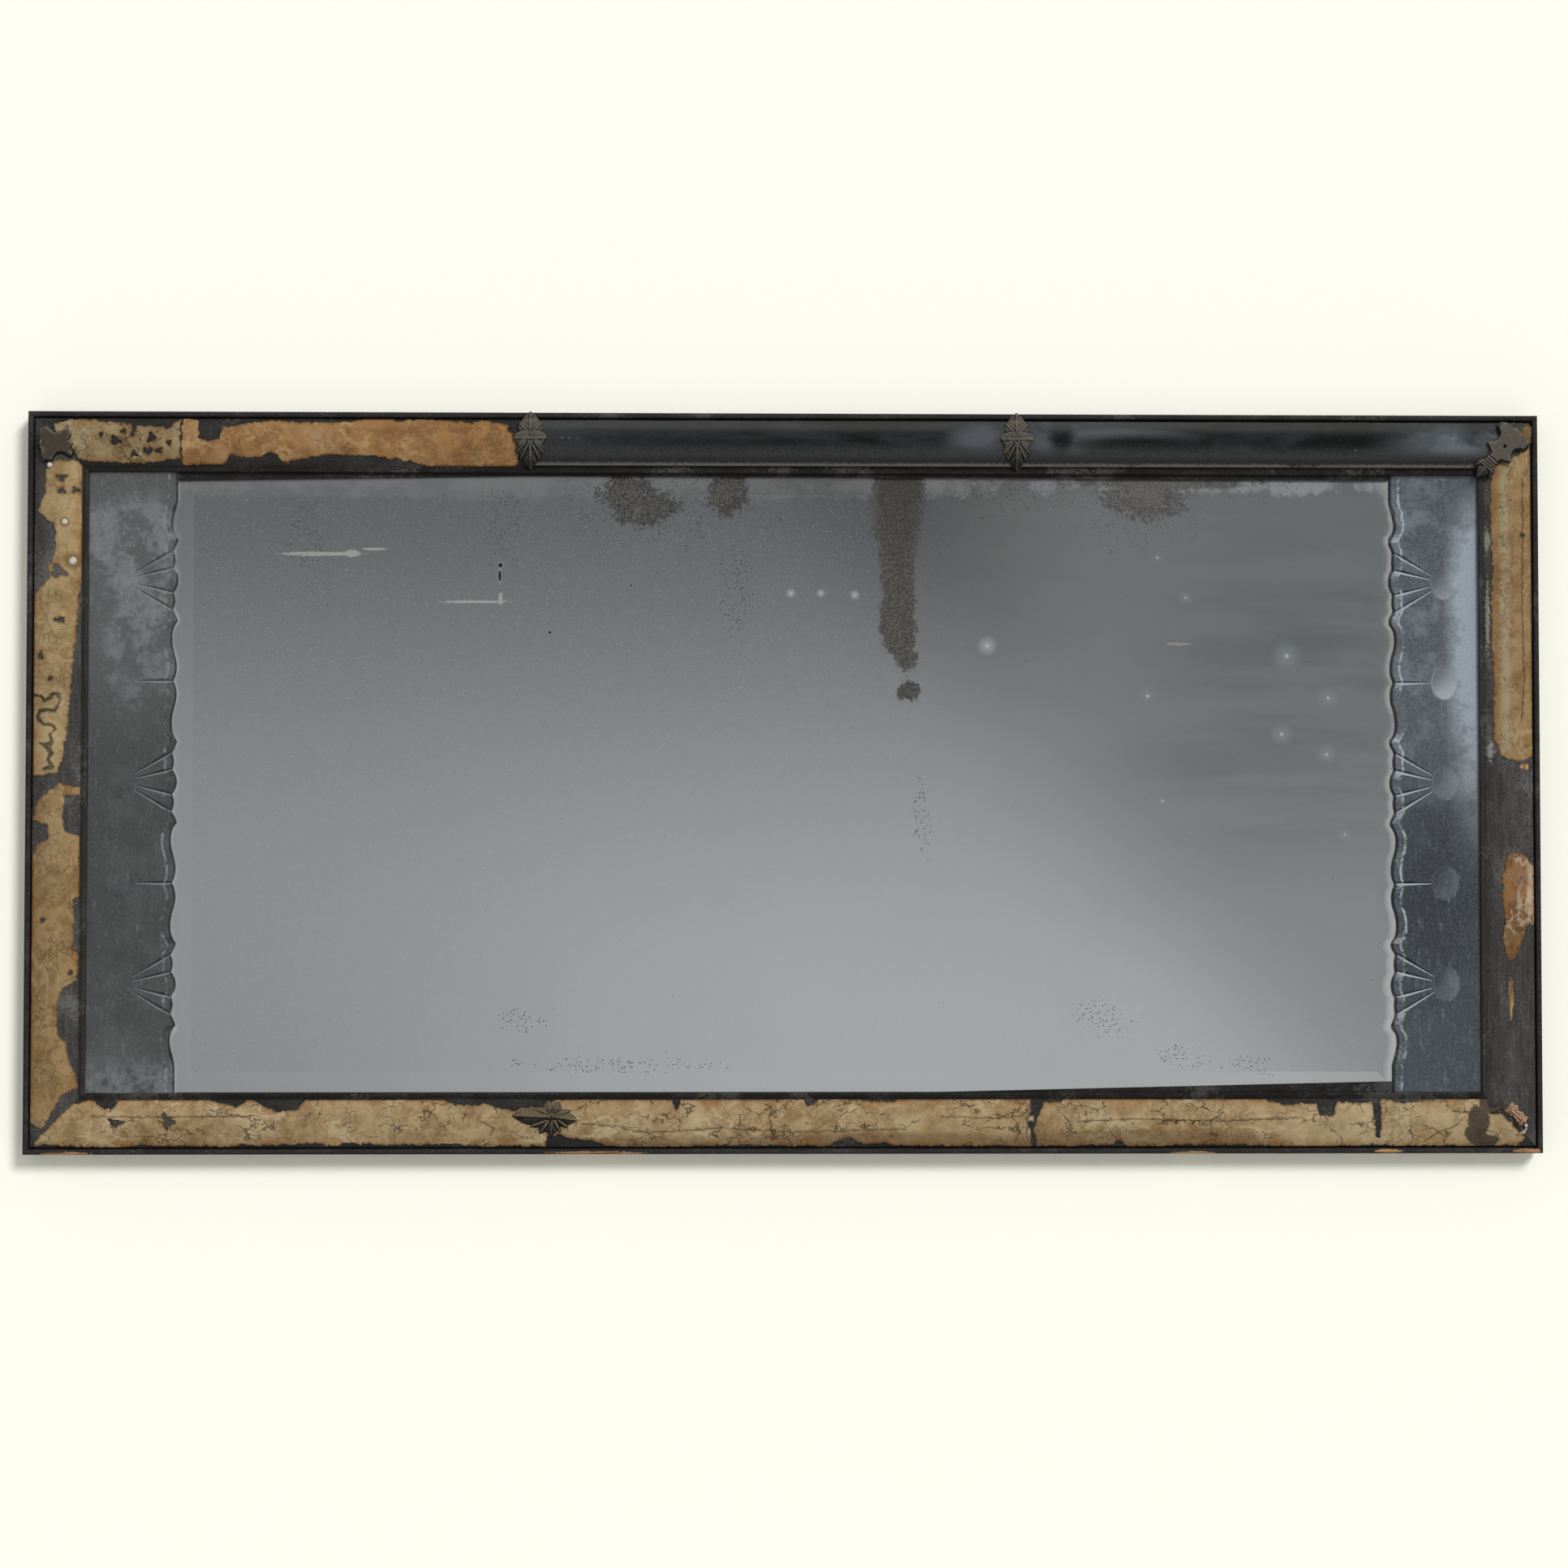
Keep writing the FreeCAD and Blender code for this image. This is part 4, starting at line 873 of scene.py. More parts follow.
@dataclass(frozen=True)
class BentGlass:
    """The bent strips on the cushion: nearly black, with bluish clouds and dust along the lower edge."""

    name: str = "bent_mirror_glass"
    silver: Colour = paint(84, 85, 85)
    spent: Colour = paint(36, 36, 35)
    cloudy: Colour = paint(104, 110, 116)
    dusty: Colour = paint(124, 121, 113)
    veiled: Colour = paint(96, 95, 91)
    dark: Marks = (
        ((340.0, 421.0), (15.0, 19.0)),
        ((430.0, 416.0), (70.0, 12.0)),
        ((-60.0, 412.0), (200.0, 10.0)),
    )
    hazy: Marks = (
        ((238.0, 424.0), (38.0, 22.0)),
        ((400.0, 428.0), (80.0, 18.0)),
        ((815.0, 424.0), (34.0, 24.0)),
    )

    def material(self) -> bpy.types.Material:
        """Builds the finish.

        Returns:
            The material.
        """
        shader = Shader(self.name)
        drift = shader.cloud(9.0, 6.0, 0.66, (0.6, 1.0, 1.6), twist=0.5)
        grit = shader.cloud(300.0, 6.0, 0.8)
        middle = shader.spot((-50.0, 418.0), (310.0, 300.0), 0.3)
        middle = middle.most(shader.spot((590.0, 418.0), (200.0, 300.0), 0.4))
        mist = drift.ramp(0.36, 0.66) * (0.8 - middle * 0.5 + shader.x.ramp(0.70, 0.84) * 0.4)
        mist = mist.most(shader.spots(self.hazy, 0.7, drift * 2.0 - 1.0) * 0.75)
        mist = mist * shader.z.ramp(0.396, 0.415)
        mist = mist * (0.6 + grit * 0.8) * (1 - shader.spots(self.dark, 0.6, drift - 0.5) * 0.9)
        veil = shader.z.ramp(0.426, 0.440) * (0.25 + drift * 0.7)
        veil = veil.most(shader.z.ramp(0.410, 0.400) * 0.24) * (0.5 + grit) * 0.6
        low = (shader.z.ramp(0.397, 0.391) * drift.ramp(0.22, 0.5) * 0.85).crumble(grit, 0.3)
        flecks = shader.cells(85.0, "F1", (1.0, 1.0, 0.5)).ramp(0.1, 0.05)
        flecks = flecks * shader.cloud(30.0, 3.0).ramp(0.54, 0.64)
        colour = shader.layered(
            self.silver,
            (grit.ramp(0.42, 0.66) * 0.6, self.spent),
            ((veil * 1.9).least(1.0), self.veiled),
            (mist, self.cloudy),
            ((low * 0.7).most(flecks * 0.7), self.dusty),
        )
        dull = (mist * 0.75).most(low * 0.7).most(flecks).most(veil)
        return shader.finish(
            Base_Color=colour,
            Metallic=(1 - dull).most(0.0),
            Roughness=0.26 + mist * 0.3 + low * 0.3,
            Specular_IOR_Level=0.3,
            Normal=shader.raised(grit, 0.05, 0.25),
        )


@dataclass(frozen=True)
class OldPaper:
    """Brown lining paper, stained, scorch-brown along its torn edges and crackled."""

    name: str
    tone: Colour
    pale: Colour
    dark: Colour
    # colour of scorch, soot and stains, also of the painted shade in wrinkle hollows and fold lines
    scorch_and_shade: Colour = paint(96, 70, 42)
    brown_towards_long_edges: Colour = paint(152, 110, 64)
    crack: Colour = paint(58, 44, 28)
    split: Colour = paint(54, 42, 28)
    grimy: Colour = paint(66, 58, 50)
    tide: Colour = paint(50, 46, 38)
    crackle: float = 0.5
    rings: Marks = ()
    water_line: Line = ()
    stains: Marks = ()
    upright: bool = False
    pale_band: float = 0.0

    def material(self) -> bpy.types.Material:
        """Builds the finish.

        Returns:
            The material.
        """
        shader = Shader(self.name)
        mottle = shader.cloud(42.0, 7.0, 0.66)
        blotch = shader.cloud(11.0, 5.0, 0.6, twist=0.8)
        fibre = shader.cloud(620.0, 4.0, 0.7)
        rim, within, crease, seam = [shader.attribute(name) for name in ("edge", "within", "crease", "seam")]
        soot = shader.cloud(26.0, 6.0, 0.7).ramp(0.58, 0.76)
        pocks = shader.cells(150.0).ramp(0.16, 0.07) * shader.cloud(34.0, 3.0).ramp(0.5, 0.62)
        scuffs = shader.cloud(210.0, 5.0, 0.75).ramp(0.58, 0.7) * blotch.ramp(0.4, 0.6)
        turned = (1.0, 1.0, 0.55) if self.upright else (0.55, 1.0, 1.0)
        folds = abs(shader.cloud(55.0, 4.0, 0.6, twist=1.2) - 0.5).ramp(0.0, 0.05)
        folds = folds.most(shader.cloud(16.0, 3.0).ramp(0.56, 0.44))
        small = shader.cells(70.0, "DISTANCE_TO_EDGE", turned, 14.0)
        where = shader.cloud(24.0, 3.0).ramp(0.5, 0.6)
        large = shader.cells(30.0, "DISTANCE_TO_EDGE", turned, 22.0).ramp(0.032, 0.006)
        large = large * shader.cloud(17.0, 3.0).ramp(0.52, 0.58)
        lines = (small.ramp(0.065, 0.01) * where).most(large) * self.crackle
        colour = shader.layered(
            self.dark,
            (mottle.ramp(0.34, 0.62), self.tone),
            (blotch.ramp(0.46, 0.7) * 0.5, self.pale),
        )
        if self.pale_band:
            band = abs(abs(shader.x) - self.pale_band * MM).ramp(0.009, 0.002) * mottle.ramp(0.3, 0.55)
            colour = shader.blend(band * 0.7, colour, self.pale)
        colour = shader.layered(
            colour,
            # browner towards the sheet's long edges, paler in its middle
            ((within + mottle - 0.5).ramp(0.5, 0.05) * 0.65, self.brown_towards_long_edges),
            (soot * 0.25, self.scorch_and_shade),
            (pocks * 0.6, self.scorch_and_shade),
            (scuffs * 0.4, self.pale),
            ((rim + mottle * 0.7 - 0.35).ramp(0.6, 0.0) * 0.7, self.scorch_and_shade),
            (fibre.ramp(0.55, 0.75) * 0.25, self.scorch_and_shade),
            # darker along the fold lines, where the bump dips: painted shade
            ((1 - folds) * 0.3, self.scorch_and_shade),
            # pale beside the cracks: a painted highlight on their raised edges
            (small.ramp(0.2, 0.07) * where * self.crackle * 0.4, self.pale),
            (lines * 0.85, self.crack),
            # painted shade in the wrinkles' hollows and painted highlight on their crests
            (crease.ramp(0.3, 0.0) * 0.6, self.scorch_and_shade),
            (crease.ramp(0.6, 1.0) * 0.55, self.pale),
            # painted shade in the sunken fold and split lines
            (seam * 0.85, self.split),
        )
        if self.rings:
            colour = shader.blend(shader.spots(self.rings, 0.35) * 0.5, colour, self.scorch_and_shade)
        if self.stains:
            ragged = mottle * 1.2 - 0.6 + fibre * 0.5 - 0.25
            colour = shader.blend(shader.spots(self.stains, 0.1, ragged) * 0.9, colour, self.grimy)
        if self.water_line:
            uneven = shader.cloud(95.0, 3.0)
            away = shader.stroke(self.water_line) + (mottle - 0.5) * 0.008 + (uneven - 0.5) * 0.006
            colour = shader.layered(
                colour,
                (away.ramp(0.012, 0.002) * blotch.ramp(0.3, 0.6) * 0.5, self.pale),
                (away.ramp(0.0042, 0.0004) * (0.5 + uneven * 0.8).least(1.0), self.tide),
            )
        return shader.finish(
            Base_Color=colour,
            Roughness=0.88,
            Specular_IOR_Level=0.25,
            Normal=shader.raised(fibre * 0.4 + mottle + folds * 0.6 - lines * 0.8, 0.7, 0.9),
        )


@dataclass(frozen=True)
class CarvedFinish:
    """Dark carved wood, rubbed pale along its ridges."""

    name: str
    deep: Colour = paint(26, 24, 22)
    body: Colour = paint(88, 84, 77)
    rubbed: Colour = paint(142, 133, 118)
    stain: Colour = paint(116, 92, 52)
    stained: float = 0.3

    def material(self) -> bpy.types.Material:
        """Builds the finish.

        Returns:
            The material.
        """
        shader = Shader(self.name)
        wear = shader.attribute("wear")
        grit = shader.cloud(380.0, 5.0, 0.7)
        drift = shader.cloud(60.0, 5.0, 0.65)
        _, _, upward = shader.facing()
        colour = shader.layered(
            self.deep,
            ((wear + grit * 0.3 - 0.15).ramp(0.28, 0.52), self.body),
            ((wear + grit * 0.5 - 0.25).ramp(0.56, 0.92) * 0.9, self.rubbed),
            (drift.ramp(0.52, 0.7) * self.stained, self.stain),
            # painted highlight on faces that look up, in the rubbed colour, and painted shade on faces that
            # look down, in the deep colour
            (upward.ramp(0.1, 0.7) * 0.28, self.rubbed),
            (upward.ramp(-0.1, -0.6) * 0.6, self.deep),
        )
        return shader.finish(
            Base_Color=colour,
            Roughness=0.55 + grit * 0.2,
            Normal=shader.raised(grit, 0.3, 0.7),
        )


@dataclass(frozen=True)
class Metal:
    """Iron or steel with some rust."""

    name: str
    colour: Colour
    rust: Colour
    shine: float
    rusted: float
    bare: float = 1.0

    def material(self) -> bpy.types.Material:
        """Builds the finish.

        Returns:
            The material.
        """
        shader = Shader(self.name)
        bloom = shader.cloud(160.0, 6.0, 0.7).ramp(0.48, 0.66) * self.rusted
        return shader.finish(
            Base_Color=shader.blend(bloom, self.colour, self.rust),
            Metallic=(1 - bloom) * self.bare,
            Roughness=self.shine + bloom * 0.35,
        )


class Side(Enum):
    """A side of the frame. Along a level side runs from its left end, along an upright one from its top."""

    TOP = "top"
    BOTTOM = "bottom"
    LEFT = "left"
    RIGHT = "right"


@dataclass(frozen=True)
class Moulding:
    """The convex moulding of the frame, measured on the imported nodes, in millimetres."""

    half_width: float
    half_height: float
    start: float
    end: float
    crown: float
    back: float
    bead_front: float
    edge_rise: float = 4.0
    bed: float = 0.3

    @classmethod
    def measure(cls) -> "Moulding":
        """Reads the moulding's sizes from the frame.

        Returns:
            The moulding.
        """
        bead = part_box("outer_bead_top")
        low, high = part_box("cushion_top")
        top = bead[1].z
        return cls(
            half_width=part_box("outer_bead_right")[1].x / MM,
            half_height=top / MM,
            start=(top - high.z) / MM,
            end=(top - low.z) / MM,
            crown=-low.y / MM,
            back=-high.y / MM,
            bead_front=-bead[0].y / MM,
        )

    @property
    def middle(self) -> float:
        """Where the crown lies, inwards from the outer edge."""
        return (self.start + self.end) / 2

    @property
    def radius(self) -> float:
        """The radius of the crown's arc.

        Returns:
            The radius.
        """
        half = (self.end - self.start) / 2
        rise = self.crown - self.back - self.edge_rise
        return (half * half + rise * rise) / (2 * rise)

    def flat(self, side: Side, along: float, inward: float) -> Point:
        """A place on the front.

        Args:
            side: A side of the frame.
            along: How far along it.
            inward: How far in from the outer edge.

        Returns:
            The place's x and z in millimetres.
        """
        if side in (Side.TOP, Side.BOTTOM):
            rise = self.half_height - inward
            return along - self.half_width, rise if side is Side.TOP else -rise
        reach = self.half_width - inward
        return (-reach if side is Side.LEFT else reach), self.half_height - along

    def out(self, x: float, z: float, lift: float = 0.0) -> float:
        """How far the moulding stands out from the wall.

        Args:
            x: A place on the front.
            z: The same place's height.
            lift: What is added to the arc's radius.

        Returns:
            The distance from the wall.
        """
        inward = min(self.half_width - abs(x), self.half_height - abs(z))
        grown = self.radius + lift
        across = min(abs(inward - self.middle), grown)
        return self.crown - self.radius + math.sqrt(grown * grown - across * across)


def ripple(x: float, z: float, size: float, seed: float) -> float:
    """A smooth chance pattern from about -1 to 1.

    Args:
        x: A place on the front, in millimetres.
        z: The same place's height.
        size: The pattern's grain in millimetres.
        seed: Which pattern.

    Returns:
        The pattern's value there.
    """
    return noise.noise(Vector((x / size, z / size, seed)))


def bump(away: float, width: float) -> float:
    """A smooth rise: 1 at no distance, and close to 0 at twice its width."""
    return math.exp(-((away / width) ** 2))


def flat_grid(low: Point, high: Point, step: float) -> bmesh.types.BMesh:
    """Makes a flat grid of squares.

    Args:
        low: Its lower corner, in millimetres.
        high: Its upper corner.
        step: About how wide its squares are.

    Returns:
        The mesh.
    """
    mesh = bmesh.new()
    spans = (high[0] - low[0], high[1] - low[1])
    counts = [max(2, round(span / step)) for span in spans]
    bmesh.ops.create_grid(mesh, x_segments=counts[0], y_segments=counts[1], size=0.5)
    for vert in mesh.verts:
        vert.co.x = low[0] + (vert.co.x + 0.5) * spans[0]
        vert.co.y = low[1] + (vert.co.y + 0.5) * spans[1]
    return mesh


def trim(mesh: bmesh.types.BMesh, gone: list[bmesh.types.BMFace], rounds: int) -> None:
    """Cuts faces away and smooths the stepped rim that is left.

    Args:
        mesh: A flat grid.
        gone: The faces to cut away.
        rounds: How often the rim is smoothed.
    """
    bmesh.ops.delete(mesh, geom=gone, context="FACES")
    for _ in range(rounds):
        rim = [vert for vert in mesh.verts if vert.is_boundary]
        bmesh.ops.smooth_vert(mesh, verts=rim, factor=0.5, use_axis_x=True, use_axis_y=True)


def thicken(mesh: bmesh.types.BMesh) -> set[bmesh.types.BMVert]:
    """Extrudes a flat mesh into two layers, which still lie in one plane.

    Args:
        mesh: The mesh.

    Returns:
        The corners of the upper layer.
    """
    grown = bmesh.ops.extrude_face_region(mesh, geom=mesh.faces[:], use_keep_orig=True)
    return {item for item in grown["geom"] if isinstance(item, bmesh.types.BMVert)}


def hang(
    name: str, mesh: bmesh.types.BMesh, material: bpy.types.Material, slot: str, *nodes: str
) -> bpy.types.Object:
    """Makes a piece of a mesh, in place on the frame.

    Args:
        name: The piece's name.
        mesh: Its shape in metres, which is freed.
        material: Its finish.
        slot: A slot name for the finish; not used.
        *nodes: The nodes that it stands for.

    Returns:
        The piece.
    """
    bmesh.ops.recalc_face_normals(mesh, faces=mesh.faces)
    data = bpy.data.meshes.new(name)
    mesh.to_mesh(data)
    mesh.free()
    data.polygons.foreach_set("use_smooth", [True] * len(data.polygons))
    data.set_sharp_from_angle(angle=SMOOTH_UNDER)
    data.materials.append(material)
    piece = bpy.data.objects.new(name, data)
    bpy.context.scene.collection.objects.link(piece)
    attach(piece, BODY)
    if nodes:
        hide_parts(*nodes)
    log.info("%s: %d faces", name, len(data.polygons))
    return piece


def inside(place: Point, outline: Line) -> bool:
    """Tells whether a place lies inside a closed outline.

    Args:
        place: The place.
        outline: The outline's corners in order.

    Returns:
        Whether it is inside.
    """
    found = False
    x, y = place
    before = outline[-1]
    for corner in outline:
        if (corner[1] > y) != (before[1] > y):
            if x < (before[0] - corner[0]) * (y - corner[1]) / (before[1] - corner[1]) + corner[0]:
                found = not found
        before = corner
    return found


@dataclass(frozen=True)
class TornSheet:
    """One torn sheet on the moulding. Its outline and holes are (along, inward) in millimetres."""

    name: str
    side: Side
    finish: OldPaper
    outline: Line
    holes: tuple[tuple[float, float, float, float], ...] = ()
    seams: tuple[Line, ...] = ()
    wrinkle: float = 0.5
    step: float = 1.35
    thickness: float = 0.4
    tear: float = 2.0
    curl: float = 0.7
    curl_grain: float = 22.0
    curl_reach: float = 2.5
    flat_rim: float = 8.0
    margin: float = 2.0
    inset: float = 0.3
    scorch: float = 5.0
    seam_width: float = 1.5
    seam_depth: float = 0.5
    replaced: bool = True

    def covers(self, along: float, inward: float, seed: float) -> bool:
        """Tells whether the sheet is still there at a place, with its ragged tear.

        Args:
            along: The place along the side.
            inward: How far in from the outer edge.
            seed: Which chance pattern the tear follows.

        Returns:
            Whether paper covers it.
        """
        coarse = ripple(along, inward, 9.0, seed) * self.tear
        fine = ripple(along, inward, 3.0, seed + 5.0) * self.tear * 0.7
        torn = (along + coarse, inward + ripple(along, inward, 7.0, seed + 9.0) * self.tear + fine)
        for middle, level, half, tall in self.holes:
            across, up = (torn[0] - middle) / half, (torn[1] - level) / tall
            angle = math.atan2(up, across)
            ragged = 1 + 0.34 * math.sin(3 * angle + middle) + 0.2 * math.sin(5 * angle + level)
            if math.hypot(across, up) < ragged:
                return False
        return inside(torn, self.outline)

    def build(self, moulding: Moulding) -> bpy.types.Object:
        """Builds the sheet: a grid cut to the torn outline, laid over the moulding and wrinkled.

        Args:
            moulding: What the sheet lies on.

        Returns:
            The piece.
        """
        seed = float(len(self.name) * 7 + len(self.outline))
        alongs, inwards = zip(*self.outline)
        low = (min(alongs) - self.margin, min(inwards) - self.margin)
        high = (max(alongs) + self.margin, max(inwards) + self.margin)
        mesh = flat_grid(low, high, self.step)
        gone = []
        for face in mesh.faces:
            along, inward, _ = face.calc_center_median()
            on_crown = moulding.start + self.inset < inward < moulding.end - self.inset
            if not on_crown or not self.covers(along, inward, seed):
                gone.append(face)
        trim(mesh, gone, 2)
        rim = [vert.co.copy() for vert in mesh.verts if vert.is_boundary]
        tree = kdtree.KDTree(len(rim))
        for index, place in enumerate(rim):
            tree.insert(place, index)
        tree.balance()
        layers = mesh.verts.layers.float
        edge, within, crease, seam = [layers.new(name) for name in ("edge", "within", "crease", "seam")]
        upper = thicken(mesh)
        for vert in mesh.verts:
            along, inward, _ = vert.co
            distance = tree.find(vert.co)[2]
            fold = self.fold(along, inward, seed)
            split = self.seam(along, inward, seed)
            rise = fold * self.wrinkle * min(1.0, 0.35 + distance / self.flat_rim)
            bent = max(0.0, ripple(along, inward, self.curl_grain, seed + 3.0)) * self.curl
            bent *= math.exp(-distance / self.curl_reach)
            lift = moulding.bed + max(0.0, rise) + bent + (self.thickness if vert in upper else 0.0)
            lift -= min(split * self.seam_depth, lift - moulding.bed)
            vert[edge] = min(1.0, distance / self.scorch)
            vert[within] = 1 - abs(2 * (inward - low[1]) / (high[1] - low[1]) - 1)
            vert[crease] = fold
            vert[seam] = split
            x, z = moulding.flat(self.side, along, inward)
            vert.co = Vector((x, -moulding.out(x, z, lift), z)) * MM
        nodes = (self.name,) if self.replaced else ()
        name = self.name + "_torn" if self.replaced else self.name
        return hang(name, mesh, self.finish.material(), "lining_paper", *nodes)

    def fold(self, along: float, inward: float, seed: float) -> float:
        """The height of the wrinkles at a place, from 0 to about 1.

        Args:
            along: The place along the side.
            inward: How far in from the outer edge.
            seed: Which chance pattern.

        Returns:
            The height's share.
        """
        spot = Vector((along / 26 + ripple(along, inward, 30, seed) * 0.4, inward / 15, seed))
        crest = 1 - min(1.0, abs(noise.noise(spot)) * 4.0)
        small = 1 - min(1.0, abs(noise.noise(spot * 3.1)) * 3.4)
        patch = min(1.0, max(0.0, 0.5 + ripple(along, inward, 55.0, seed + 7) * 1.6))
        return 0.3 + (crest * 0.5 + small * 0.42) * patch + ripple(along, inward, 40.0, seed + 2) * 0.28

    def seam(self, along: float, inward: float, seed: float) -> float:
        """How near a place lies to a split or fold line of the sheet, from 0 to 1.

        Args:
            along: The place along the side.
            inward: How far in from the outer edge.
            seed: Which chance pattern the line wavers with.

        Returns:
            1 on the line and 0 away from it.
        """
        sway, dip = ripple(along, inward, 8.0, seed) * 1.5, ripple(along, inward, 6.0, seed) * 2
        place = Vector((along + sway, inward + dip))
        nearest = self.seam_width
        for line in self.seams:
            for first, second in zip(line, line[1:]):
                start, reach = Vector(first), Vector(second) - Vector(first)
                share = min(1.0, max(0.0, (place - start).dot(reach) / reach.length_squared))
                nearest = min(nearest, (place - start - reach * share).length)
        return 1 - nearest / self.seam_width


TAN = OldPaper(
    "paper_tan", paint(164, 141, 106), paint(188, 170, 137), paint(138, 113, 79), crackle=0.9,
    stains=(
        ((851.0, -418.0), (14.0, 22.0)),
        ((862.0, -394.0), (10.0, 14.0)),
        ((858.0, -440.0), (19.0, 8.0)),
        ((842.0, -431.0), (9.0, 10.0)),
    ),
    rings=(
        ((110.0, -441.0), (190.0, 12.0)),
        ((430.0, -440.0), (170.0, 15.0)),
        ((-170.0, -444.0), (90.0, 9.0)),
    ),
)
GREY_TAN = OldPaper(
    "paper_grey_tan", paint(148, 128, 94), paint(164, 152, 122), paint(116, 96, 64), crackle=0.8
)
ORANGE_TAN = OldPaper(
    "paper_orange_tan", paint(150, 113, 73), paint(178, 149, 109), paint(122, 89, 56), paint(100, 66, 38),
    crackle=0.3,
)
DRIED_GLUE = OldPaper("dried_glue", paint(114, 90, 60), paint(186, 158, 70), paint(74, 58, 42), crackle=0.6)
PALE_SCRAP = OldPaper(
    "pale_scrap", paint(190, 176, 152), paint(206, 196, 178), paint(150, 132, 104), crackle=0.2
)
WATER_LINE: Line = (
    (-922.6, 106.2), (-911.9, 104.1), (-908.3, 99.1), (-900.4, 101.9), (-898.3, 107.6), (-891.9, 106.9),
    (-889.0, 99.8), (-894.7, 86.2), (-904.7, 87.6), (-914.0, 86.2), (-916.9, 81.2), (-914.7, 75.5),
    (-909.0, 69.8), (-899.0, 68.4), (-894.7, 64.1), (-901.1, 56.9), (-898.3, 49.8), (-900.4, 46.2),
    (-911.9, 46.2), (-904.7, 41.2), (-899.0, 34.1), (-903.3, 26.9), (-897.6, 18.4), (-907.6, 15.5),
)
LEFT_TAN = OldPaper(
    "paper_left_tan", paint(164, 141, 103), paint(176, 158, 120), paint(138, 114, 78), crackle=0.35,
    water_line=WATER_LINE, upright=True,
    rings=(((-885.0, 318.5), (6.5, 6.5)), ((-875.0, 270.5), (10.0, 10.5))),
)
BROWN_TAN = OldPaper(
    "paper_brown_tan", paint(150, 124, 88), paint(164, 142, 106), paint(118, 94, 62),
    crackle=0.5, upright=True,
)
OLIVE_TAN = OldPaper(
    "paper_olive_tan", paint(149, 122, 87), paint(161, 149, 119), paint(126, 97, 65),
    crackle=0.5, upright=True, pale_band=888.0,
)
RUST_TAN = OldPaper(
    "paper_rust_tan", paint(136, 100, 67), paint(186, 168, 146), paint(100, 72, 46),
    crackle=0.6, upright=True, pale_band=919.0,
)

